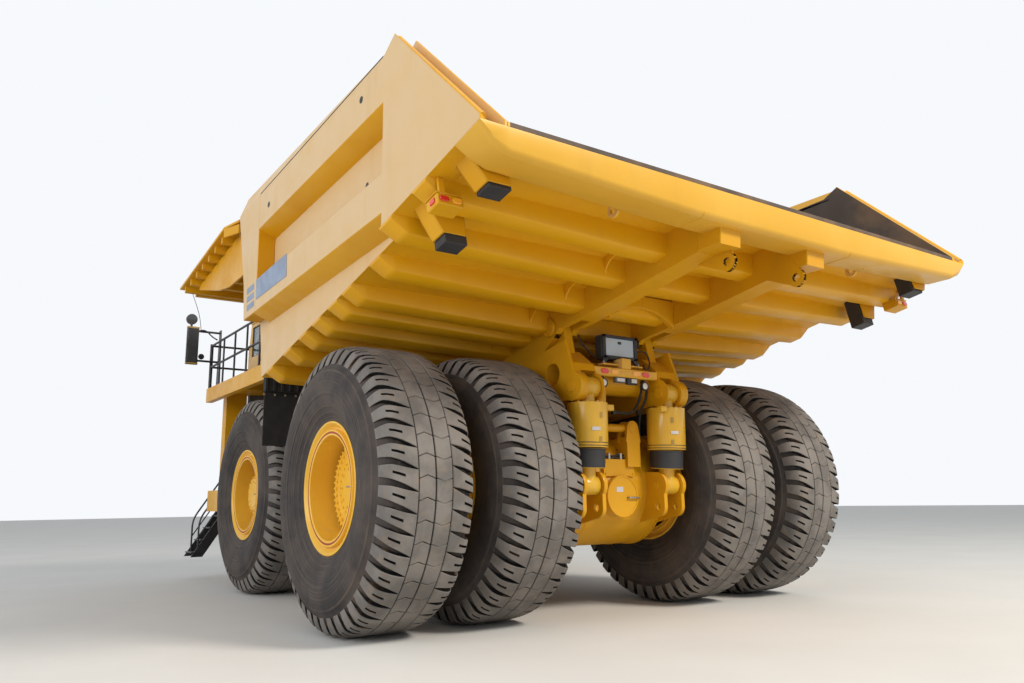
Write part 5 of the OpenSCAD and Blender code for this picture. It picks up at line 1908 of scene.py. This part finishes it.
@dataclass
class AxleFittings:
    """What is bolted to the rear axle: hatch rim, label and handle, cover bolts, drum flanges and the rod's caps."""

    finish: Finishes
    hatch: Point = (0.0, 1.06, 1.83)
    hatch_r: float = 0.325
    drum_r: float = 0.965
    weld_x: float = 0.55
    cover_bolts: tuple[float, float, float] = (0.29, 2.19, 2.38)
    # Caps on the sway rod: places across the truck, and their place in [y, z]
    rod_x: tuple[float, float] = (-0.29, 0.42)
    rod: tuple[float, float] = (1.049, 2.93)
    rod_cap: Profile = ((0.0, 0.085), (0.01, 0.085), (0.014, 0.06), (0.02, 0.055), (0.02, 0.0))
    ear_hole: Point = (0.998, 0.93, 2.28)

    def build(self) -> None:
        """Builds the fittings."""
        f, r, d = self.finish, self.hatch_r, self.drum_r
        x, y, z = self.hatch
        piece = Piece("axle_hatch_and_bolts", f.yellow)
        rim = [(-0.01, r - 0.024), (-0.01, r + 0.004), (0.004, r + 0.004), (0.009, r - 0.002), (0.009, r - 0.02),
               (0.004, r - 0.024)]
        piece.add(revolve(rim, Y_AXIS, self.hatch, 64, loop=True))
        piece.add(block((x - 0.01, y - 0.001, z + 0.07), (x + 0.13, y + 0.003, z + 0.15), 0.001), f.label)
        grip = [(x - 0.1, y, z - 0.02), (x - 0.1, y + 0.045, z - 0.02), (x - 0.32, y + 0.045, z - 0.025),
                (x - 0.32, y, z - 0.025)]
        piece.add(tube(rounded(grip, 0.02), 0.013, 10), f.steel)
        half, *heights = self.cover_bolts
        corners = [(s * half, 1.0, h) for s in (1, -1) for h in heights]
        piece.add(scatter(bolt(0.016, 0.014), corners, Y_AXIS))
        flange = [(0.985, d - 0.004), (0.99, d + 0.016), (1.012, d + 0.016), (1.018, d + 0.012), (1.04, d - 0.03)]
        weld = circle(d - 0.002, 96, (self.weld_x, 0, HUB_Z), X_AXIS)
        piece.both(revolve(flange, X_AXIS, (0, 0, HUB_Z), 96, loop=True)).both(tube(weld, 0.008, 6, closed=True))
        for at in self.rod_x:
            piece.add(revolve(self.rod_cap, Y_AXIS, (at, *self.rod), 32))
        half, *rest = self.ear_hole
        # A black disc on each ear is painted shade standing for its hole
        piece.add(scatter(disc(0.012, 0.004, 0.001, 16), [(half, *rest), (-half, *rest)], Y_AXIS), f.satin)
        piece.build("chassis")


# ---------------------------------------------------------------- cab, deck and front


@dataclass
class Cab:
    """Cab glass with its seals, door handle, the driver's padded seat, dashboard and wheel, and the roof's gutter."""

    finish: Finishes
    x: tuple[float, float] = (1.1, 3.0)
    y: tuple[float, float] = (-9.15, -7.15)
    # Lower and upper edge of the windows
    sill: float = 5.36
    head: float = 6.08
    door_y: tuple[float, float] = (-7.9, -7.44)
    door_head: float = 6.02
    handle: tuple[float, float, float] = (-7.945, 5.1, 5.32)
    roof_z: float = 6.2
    seat_x: float = 2.35
    floor_z: float = 4.66
    wheel: Point = (2.35, -8.6, 5.33)
    wheel_r: float = 0.22
    wheel_tilt: Point = (0.0, 0.62, 0.78)

    def pane(self, piece: Piece, corners: Sequence[Point], thickness: float = 0.012) -> None:
        """Adds a pane over four corners, and the seal round it.

        Args:
            piece: The piece, which starts with the glass.
            corners: The corners in turn.
            thickness: The pane's thickness.
        """
        c = np.asarray(corners, float)
        out = unit(np.cross(c[1] - c[0], c[3] - c[0]))
        piece.add(grid(np.stack([c - out * thickness / 2, c + out * thickness / 2]), wrap_columns=True, caps=True))
        piece.add(tube(c, 0.02, 8, closed=True), self.finish.rubber)

    def upright(self, piece: Piece, ends: Sequence[tuple[float, float]], high: float) -> None:
        """Adds an upright pane.

        Args:
            piece: The piece.
            ends: Its two ends as [x, y].
            high: Its upper edge.
        """
        a, b = ends
        self.pane(piece, [(*a, self.sill), (*b, self.sill), (*b, high), (*a, high)])

    def glass(self) -> None:
        """Builds the panes of the cab and of its door."""
        f, (x0, x1), (y0, y1) = self.finish, self.x, self.y
        cab = Piece("cab_windows", f.glass)
        low, high = (y0 + 0.05, 5.5), (y0 + 0.18, 6.1)
        self.pane(cab, [(x0 + 0.13, *low), (x1 - 0.13, *low), (x1 - 0.13, *high), (x0 + 0.13, *high)])
        for ends in (((x0 + 0.21, y1 - 0.03), (x1 - 0.21, y1 - 0.03)), ((x0 + 0.03, y0 + 0.27), (x0 + 0.03, y1 - 0.17)),
                     ((x1 - 0.03, y0 + 0.27), (x1 - 0.03, y1 - 1.0))):
            self.upright(cab, ends, self.head)
        cab.build("chassis")
        door = Piece("door_window", f.glass)
        d0, d1 = self.door_y
        self.upright(door, ((x1 - 0.03, d0), (x1 - 0.03, d1)), self.door_head)
        y, z0, z1 = self.handle
        bar = [(x1 + 0.035, y, z0), (x1 + 0.06, y, z0 + 0.02), (x1 + 0.06, y, z1 - 0.02), (x1 + 0.035, y, z1)]
        door.add(tube(rounded(bar, 0.02), 0.012, 8), f.rubber)
        door.build("door")

    def seat(self) -> None:
        """Builds the seat: a metal base, a crowned cushion and a back with two sewn channels.

        The back leans by a share of its height and sinks in at each channel by a bell curve.
        """
        f, x, z = self.finish, self.seat_x, self.floor_z
        piece = Piece("driver_seat", f.cloth)
        piece.add(block((x - 0.2, -8.15, z), (x + 0.2, -7.75, z + 0.3), 0.02), f.satin)
        piece.add(pad((x - 0.258, -8.248, z + 0.27), (x + 0.258, -7.72, z + 0.44)))
        back = pad((x - 0.255, -0.075, 0.0), (x + 0.255, 0.07, 0.76))
        bx, by, bz = back.points.T
        channel, width, depth, lean = 0.13, 0.02, 0.02, 0.11
        sewn = depth * np.exp(-((np.abs(bx - x) - channel) / width) ** 2) * np.sign(by)
        piece.add(Form(np.stack([bx, by - sewn - 7.62 + lean * bz, bz * 0.99 + z + 0.31], 1), back.faces))
        shown = piece.build("chassis", sharp=60.0)
        smooth = shown.modifiers.new("round", "SUBSURF")
        smooth.levels = smooth.render_levels = 1
        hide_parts("cab_seat")

    def inside(self) -> None:
        """Builds the dashboard, steering column and wheel, and the side console."""
        x, y, z = self.wheel
        floor = self.floor_z
        piece = Piece("cab_interior", self.finish.satin)
        dash = [(-9.08, floor), (-8.86, floor), (-8.82, 5.1), (-8.7, 5.28), (-8.74, 5.36), (-9.08, 5.4)]
        piece.add(plate(dash, 1.7, (1.2, 0, 0), Y_AXIS, Z_AXIS, 0.012))
        piece.add(tube([(x, -8.78, 5.1), (x, -8.62, 5.3)], 0.035, 12))
        tilt = unit(np.array(self.wheel_tilt))
        piece.add(tube(circle(self.wheel_r, 40, self.wheel, tilt), 0.016, 8, closed=True))
        for end in circle(self.wheel_r - 0.01, 3, self.wheel, tilt):
            piece.add(tube([(x, y, z - 0.01), end], 0.013, 8))
        piece.add(block((x - 0.62, -8.5, floor), (x - 0.36, -7.7, 5.12), 0.03))
        piece.build("chassis")

    def build(self) -> None:
        """Builds glass, seat and interior, and a gutter under the roof's edge."""
        self.glass()
        self.seat()
        self.inside()
        (x0, x1), (y0, y1), out = self.x, self.y, 0.012
        rim = [(x, y, self.roof_z) for x, y in ((x0 - out, y1 + out), (x1 + out, y1 + out), (x1 + out, y0 + 0.19),
                                                (x0 - out, y0 + 0.19))]
        Piece("cab_gutter", self.finish.cabin).add(tube(rim, 0.018, 8, closed=True)).build("chassis")


@dataclass
class DeckFittings:
    """Deck grip, mirror glasses, brackets and antenna, flap ribs, cabinet doors and louvres."""

    finish: Finishes
    half: float = 3.85
    y: tuple[float, float] = (-9.6, -4.75)
    top: float = 4.6
    mirror_low: Point = (4.16, -9.36, 5.15)
    mirror_high: Point = (4.43, -9.36, 6.08)
    arm: tuple[Point, ...] = ((4.2, -9.4, 5.98), (4.02, -9.34, 6.02), (3.85, -9.32, 5.85), (3.72, -9.36, 5.8))
    antenna: tuple[Point, ...] = ((4.1, -9.42, 5.98), (4.16, -9.42, 6.4), (4.42, -9.45, 7.1))
    # Ribs and bolt heads of the flap beam: first, end and pitch along X
    ribs: Point = (2.96, 4.2, 0.15)
    heads: Point = (3.0, 4.2, 0.2)
    cabinet_x: float = 3.6
    cabinet_doors: tuple[float, ...] = (-8.66, -8.2, -7.74)
    rear_y: float = -7.304
    rear_doors: tuple[float, ...] = (-3.52, -2.86, -2.2)
    # Louvres: first, end and pitch along Z, and how many come before the next dark one
    louvres: Point = (4.72, 5.98, 0.09)
    dark_louvre: int = 7

    def mirrors(self) -> None:
        """Builds the mirrors' glasses, frames and arms, the antenna and a round sensor."""
        f = self.finish
        (x0, y, z0), (x1, _, z1) = self.mirror_low, self.mirror_high
        piece = Piece("mirror_glasses", f.mirror)
        piece.both(block((x0 + 0.02, y - 0.004, z0 + 0.05), (x1 - 0.02, y + 0.006, z1 - 0.05), 0.003))
        piece.both(scatter(disc(0.118, 0.006, 0.003, 36), [(4.34, -9.371, 6.26)], Y_AXIS))
        for z in (z0, z1 - 0.045):
            piece.both(block((x0 - 0.006, -9.446, z), (x1 + 0.006, -9.352, z + 0.045), 0.012), f.tan)
        piece.both(tube(rounded(self.arm, 0.1), 0.016, 8), f.black)
        piece.add(tube(rounded(self.antenna, 0.3), 0.007, 6), f.black)
        piece.add(scatter(disc(0.07, 0.02, 0.004, 24), [(4.08, -9.37, 5.35)], Y_AXIS), f.black)
        piece.build("chassis")

    def flap_beam(self) -> None:
        """Builds the ribs of the mud flaps and the bolt heads of their beam."""
        f = self.finish
        piece = Piece("flap_beam_ribs", f.rubber)
        for x in np.arange(*self.ribs):
            piece.both(block((x, -3.965, 3.87), (x + 0.05, -3.935, 4.21), 0.006))
        places = [(x, -4.02, 3.8) for x in np.arange(*self.heads)]
        piece.both(scatter(bolt(0.016, 0.014), places, Y_AXIS), f.zinc).build("chassis")

    def doors(self) -> None:
        """Builds the cabinets' doors with their handles, and the louvres of the grid box."""
        f, x, r = self.finish, -self.cabinet_x, self.rear_y
        piece = Piece("cabinet_doors", f.yellow)
        for y in self.cabinet_doors:
            piece.add(block((x - 0.016, y, 4.68), (x + 0.004, y + 0.42, 6.08), 0.006))
            piece.add(block((x - 0.034, y + 0.36, 5.3), (x - 0.01, y + 0.385, 5.46), 0.006), f.satin)
        for u in self.rear_doors:
            piece.add(block((u, r, 4.7), (u + 0.6, r + 0.019, 6.06), 0.006))
            piece.add(block((u + 0.52, r + 0.014, 5.3), (u + 0.55, r + 0.042, 5.46), 0.006), f.satin)
        for k, z in enumerate(np.arange(*self.louvres)):
            section = ((0.002, z), (0.03, z - 0.02), (0.03, z), (0.002, z + 0.05))
            side = loft([[(x - d, y, h) for d, h in section] for y in (-7.08, -5.27)])
            piece.add(side, f.yellow if k % self.dark_louvre else f.satin)
            rear = ((-5.202, z), (-5.17, z - 0.02), (-5.17, z), (-5.202, z + 0.05))
            piece.add(loft([[(u, y, h) for y, h in rear] for u in (-1.57, -3.53)]))
        piece.build("chassis")

    def build(self) -> None:
        """Builds the deck's grip, then mirrors, flap beam and doors."""
        (y0, y1), h, edge = self.y, self.half, 0.02
        grip = Piece("deck_grip", self.finish.grip)
        grip.add(block((-h + edge, y0 + edge, self.top - 0.002), (h - edge, y1 - edge, self.top + 0.005), 0.002))
        grip.build("chassis")
        self.mirrors()
        self.flap_beam()
        self.doors()


@dataclass
class FrontFittings:
    """Headlamps, grille bars, stair rails, tank straps and caps, air cleaner bands and hoist glands."""

    finish: Finishes
    bumper_y: float = -10.3
    lamp_x: tuple[float, ...] = (2.25, 2.65, 3.15)
    lamp_z: tuple[float, float] = (1.74, 2.06)
    grille_y: float = -10.2
    grille_z: tuple[float, float] = (2.27, 4.36)
    # Bolt heads beside the grille: first, end and pitch along Z
    heads: Point = (2.35, 4.3, 0.24)
    rail_y: tuple[float, float] = (-11.12, -10.47)
    rail_foot: tuple[float, float] = (3.62, 1.45)
    rail_head: tuple[float, float] = (1.05, 5.35)
    # Tank straps: places, the tanks' span along Y, left and right underside and top, and corner radius
    strap_x: tuple[float, float] = (2.0, 2.6)
    tank_y: tuple[float, float] = (-3.48, -2.16)
    tank_z: tuple[float, float, float] = (1.15, 1.35, 3.1)
    tank_round: float = 0.15
    strap_half: float = 0.04
    strap_depths: tuple[float, float] = (-0.004, 0.008)
    band_x: tuple[float, float] = (2.05, 2.6)
    band_z: tuple[float, ...] = (2.45, 3.15, 3.85)
    hoist: tuple[float, float] = (1.42, -2.35)
    gland: Profile = ((3.35, 0.222), (3.35, 0.236), (3.42, 0.236), (3.425, 0.23), (3.425, 0.178))

    def lamps(self) -> None:
        """Builds the headlamps in the bumper, the bars of the grille and the bolt heads beside it."""
        f, y, g = self.finish, self.bumper_y, self.grille_y
        (z0, z1), (g0, g1) = self.lamp_z, self.grille_z
        ahead = (0, -1, 0)
        piece = Piece("headlamps_and_bars", f.satin)
        for x in self.lamp_x:
            piece.both(block((x - 0.16, y - 0.035, z0), (x + 0.16, y + 0.004, z1), 0.02))
            piece.both(scatter(disc(0.12, 0.02, 0.008, 32), [(x, y - 0.033, (z0 + z1) / 2)], ahead), f.white)
        for x in (0.55, 1.1):
            piece.both(block((x - 0.02, g + 0.03, g0), (x + 0.02, g + 0.08, g1), 0.006))
        piece.add(block((-0.03, g + 0.02, g0), (0.03, g + 0.09, g1), 0.006))
        places = [(1.59, g, z) for z in np.arange(*self.heads)]
        piece.both(scatter(bolt(0.018, 0.016), places, ahead), f.zinc).build("chassis")

    def stairs(self) -> None:
        """Builds the handrail, middle rail and posts along both sides of the stairs."""
        piece = Piece("stair_rails", self.finish.black)
        for y in self.rail_y:
            foot, head = (np.array((x, y, z)) for x, z in (self.rail_foot, self.rail_head))
            route = [foot - (0, 0, 0.85), foot, head, head - (0.5, 0, 0), head - (0.5, 0, 0.95)]
            piece.add(tube(rounded(route, 0.2), 0.022, 10))
            for t in (0.25, 0.5, 0.75):
                at = foot + (head - foot) * t
                piece.add(tube([at, at - (0, 0, 0.92)], 0.018, 8))
            piece.add(tube(np.linspace(foot - (0, 0, 0.42), head - (0, 0, 0.45), 3), 0.016, 8))
        piece.build("chassis")

    def strap(self, x: float, low: float) -> Form:
        """A strap round a tank: its outline, with a quarter circle at each corner, at two depths and two places.

        Args:
            x: Middle of the strap.
            low: Underside of the tank.

        Returns:
            The closed shape.
        """
        (y0, y1), z1, r, half = self.tank_y, self.tank_z[-1], self.tank_round, self.strap_half
        turn = np.linspace(0, math.pi / 2, 6)
        middles = ((y1 - r, z1 - r), (y0 + r, z1 - r), (y0 + r, low + r), (y1 - r, low + r))
        arcs = [np.stack([y + r * np.cos(turn + k * math.pi / 2), z + r * np.sin(turn + k * math.pi / 2)], 1)
                for k, (y, z) in enumerate(middles)]
        outline = np.concatenate(arcs)
        out = np.sign(outline - ((y0 + y1) / 2, 2.1))
        side, (inner, outer) = math.copysign(1.0, x), self.strap_depths
        rows = [np.column_stack([np.full(len(outline), x + side * across), outline + depth * out])
                for across, depth in ((-half, inner), (-half, outer), (half, outer), (half, inner))]
        return grid(np.stack(rows), wrap_rows=True, wrap_columns=True)

    def tanks(self) -> None:
        """Builds the tanks' straps and caps, and the air cleaners' bands."""
        f = self.finish
        piece = Piece("straps_and_bands", f.yellow)
        for s, low in ((1.0, self.tank_z[0]), (-1.0, self.tank_z[1])):
            for x in self.strap_x:
                piece.add(self.strap(s * x, low))
            piece.add(scatter(disc(0.09, 0.06, 0.012, 32), [(s * 2.3, -2.9, self.tank_z[-1] - 0.001)], Z_AXIS), f.satin)
        for x in self.band_x:
            for z in self.band_z:
                band = [(z - 0.03, 0.236), (z - 0.03, 0.248), (z + 0.03, 0.248), (z + 0.03, 0.236)]
                piece.both(revolve(band, Z_AXIS, (x, -9.56, 0), 48, loop=True), f.satin)
        piece.build("chassis")

    def glands(self) -> None:
        """Builds the gland on top of each hoist's barrel, with its bolts."""
        for side in Side:
            x, y = side.value * self.hoist[0], self.hoist[1]
            piece = Piece(f"hoist_gland_{side.name.lower()}", self.finish.yellow)
            piece.add(revolve(self.gland, Z_AXIS, (x, y, 0), 48, loop=True))
            piece.add(scatter(bolt(0.012, 0.012), circle(0.208, 12, (x, y, 3.424), Z_AXIS), Z_AXIS))
            piece.build(f"hoist_barrel_{side.name.lower()}")

    def build(self) -> None:
        """Builds every front fitting."""
        self.lamps()
        self.stairs()
        self.tanks()
        self.glands()


# ---------------------------------------------------------------- studio


@dataclass
class Studio:
    """Pale floor, soft lights and the camera of the photograph."""

    eye: Point = (8.95, 14.186, 1.77)
    yaw: float = 0.61
    pitch: float = 0.196
    roll: float = -0.015
    focal_px: float = 807.3
    picture_w: int = 1024
    sensor_mm: float = 36.0
    farthest: float = 400.0
    floor_half: float = 140.0
    # The sky as light, and as the camera sees it: colour and strength
    soft_sky: tuple[Colour, float] = ((0.88, 0.94, 1.0), 0.62)
    seen_sky: tuple[Colour, float] = ((0.93, 0.95, 0.98), 1.0)
    # Square soft lamps: name, place, aim, size, watts and tint
    lamps: tuple[tuple[str, Point, Point, float, float, Colour], ...] = (
        ("key", (-10.0, 31.0, 25.0), (0.0, 2.0, 3.0), 8.0, 10600.0, (1.0, 0.95, 0.87)),
        ("fill", (30.0, 8.0, 13.0), (0.0, 0.0, 3.0), 16.0, 3700.0, (0.96, 0.97, 1.0)))

    def camera(self) -> None:
        """Sets the camera from its place, its two angles and its roll about the view."""
        sy, cy = math.sin(self.yaw), math.cos(self.yaw)
        sp, cp = math.sin(self.pitch), math.cos(self.pitch)
        forward = Vector((-sy * cp, -cy * cp, sp))
        right = forward.cross(Vector(Z_AXIS)).normalized()
        up = right.cross(forward)
        c, s = math.cos(self.roll), math.sin(self.roll)
        right, up = c * right + s * up, -s * right + c * up
        data = bpy.data.cameras.new("camera")
        data.sensor_width = self.sensor_mm
        data.lens = self.focal_px / self.picture_w * self.sensor_mm
        data.clip_end = self.farthest
        camera = bpy.data.objects.new("camera", data)
        turn = Matrix((right, up, -forward)).transposed()
        camera.matrix_world = Matrix.Translation(self.eye) @ turn.to_4x4()
        bpy.context.scene.collection.objects.link(camera)
        bpy.context.scene.camera = camera

    def lamp(self, name: str, place: Point, target: Point, size: float, watts: float, tint: Colour) -> None:
        """Adds one square soft lamp.

        Args:
            name: Its name.
            place: Where it stands.
            target: The point it faces.
            size: Its side.
            watts: Its power.
            tint: Its colour.
        """
        data = bpy.data.lights.new(name, "AREA")
        data.size = size
        data.energy = watts
        data.color = tint
        lamp = bpy.data.objects.new(name, data)
        lamp.location = place
        lamp.rotation_euler = (Vector(target) - Vector(place)).to_track_quat("-Z", "Y").to_euler()
        bpy.context.scene.collection.objects.link(lamp)

    def world(self) -> None:
        """Pale even sky: white to the camera, to gloss and through glass, softer as light."""
        world = bpy.data.worlds.new("studio")
        bpy.context.scene.world = world
        world.use_nodes = True
        tree = world.node_tree
        tree.nodes.clear()
        out = tree.nodes.new("ShaderNodeOutputWorld")
        mix = tree.nodes.new("ShaderNodeMixShader")
        soft = tree.nodes.new("ShaderNodeBackground")
        seen = tree.nodes.new("ShaderNodeBackground")
        path = tree.nodes.new("ShaderNodeLightPath")
        for node, (colour, strength) in ((soft, self.soft_sky), (seen, self.seen_sky)):
            node.inputs["Color"].default_value = (*colour, 1.0)
            node.inputs["Strength"].default_value = strength
        total = path.outputs["Is Camera Ray"]
        for name in ("Is Glossy Ray", "Is Transmission Ray"):
            add = tree.nodes.new("ShaderNodeMath")
            add.operation = "MAXIMUM"
            tree.links.new(total, add.inputs[0])
            tree.links.new(path.outputs[name], add.inputs[1])
            total = add.outputs[0]
        tree.links.new(total, mix.inputs["Fac"])
        tree.links.new(soft.outputs[0], mix.inputs[1])
        tree.links.new(seen.outputs[0], mix.inputs[2])
        tree.links.new(mix.outputs[0], out.inputs["Surface"])

    def floor(self) -> None:
        """Adds the plain pale floor."""
        mesh = bpy.data.meshes.new("floor")
        size = self.floor_half
        mesh.from_pydata([(-size, -size, 0), (size, -size, 0), (size, size, 0), (-size, size, 0)], [], [(0, 1, 2, 3)])
        g = Graph("pale_floor")
        g.link(g.mix(g.ramp(g.noise(0.4, 3.0), 0.3, 0.7), (0.72, 0.7, 0.66), (0.69, 0.67, 0.63)),
               g.shader.inputs["Base Color"])
        g.set(Roughness=0.95, Specular_IOR_Level=0.1)
        mesh.materials.append(g.material)
        floor = bpy.data.objects.new("floor", mesh)
        bpy.context.scene.collection.objects.link(floor)

    def build(self) -> None:
        """Makes the floor, lamps, world and camera."""
        bpy.context.scene.view_settings.view_transform = "Standard"
        self.camera()
        self.world()
        self.floor()
        for lamp in self.lamps:
            self.lamp(*lamp)


@dataclass
class Frameworks:
    """Finishes of the CAD nodes."""

    finish: Finishes

    def build(self) -> None:
        """Gives every CAD node its finish."""
        f = self.finish
        assign(["frame", "bumper", "fuel_tank", "hydraulic_tank", "axle_housing", "sway_rod", "knuckle_left",
                "knuckle_right", "tie_rod", "hoist_barrel_left", "hoist_barrel_right", "rear_lamp_bar",
                "control_cabinet", "grid_box", "canopy", "tail_beam", "exhaust_boxes", "tail_lamps", "bed_bolsters",
                "bed_rails", "deck"], f.yellow)
        assign(["bed_side_left", "bed_side_right"], f.sheened_flank)
        assign(["bed_floor", "bed_front"], f.load)
        assign(["cab_shell", "cab_door"], f.cabin)
        assign(["front_rim_left", "front_rim_right", "rear_rims_left", "rear_rims_right"], f.rim, 0.005)
        assign(["front_struts", "rear_struts"], f.strut)
        assign(["grille", "stairs", "mirrors"], f.black, 0.004)
        assign(["handrails"], f.black, 0.0)
        assign(["mud_flaps"], f.rubber, 0.004)
        assign(["engine", "air_cleaners"], f.iron)
        assign(["hoist_stage_left", "hoist_stage_right", "hoist_rod_left", "hoist_rod_right"], f.chrome, 0.004)
        assign(["cab_seat"], f.cloth, 0.0)
        assign(["front_tyre_left", "front_tyre_right", "rear_tyres_left", "rear_tyres_right"], f.tread, 0.0)


def main() -> None:
    """Builds the studio and every sub-assembly in order."""
    logging.basicConfig(level=logging.INFO, format="%(name)s: %(message)s")
    Studio().build()
    finish = Finishes()
    for part in (Frameworks(finish), Wheels(finish), BedSides(finish), BedUnderside(finish), Canopy(finish),
                 RearFrame(finish), RearStruts(finish), AxleFittings(finish), Cab(finish), DeckFittings(finish),
                 FrontFittings(finish)):
        part.build()
        LOG.info("%s is done", type(part).__name__)


if __name__ == "__main__":
    main()
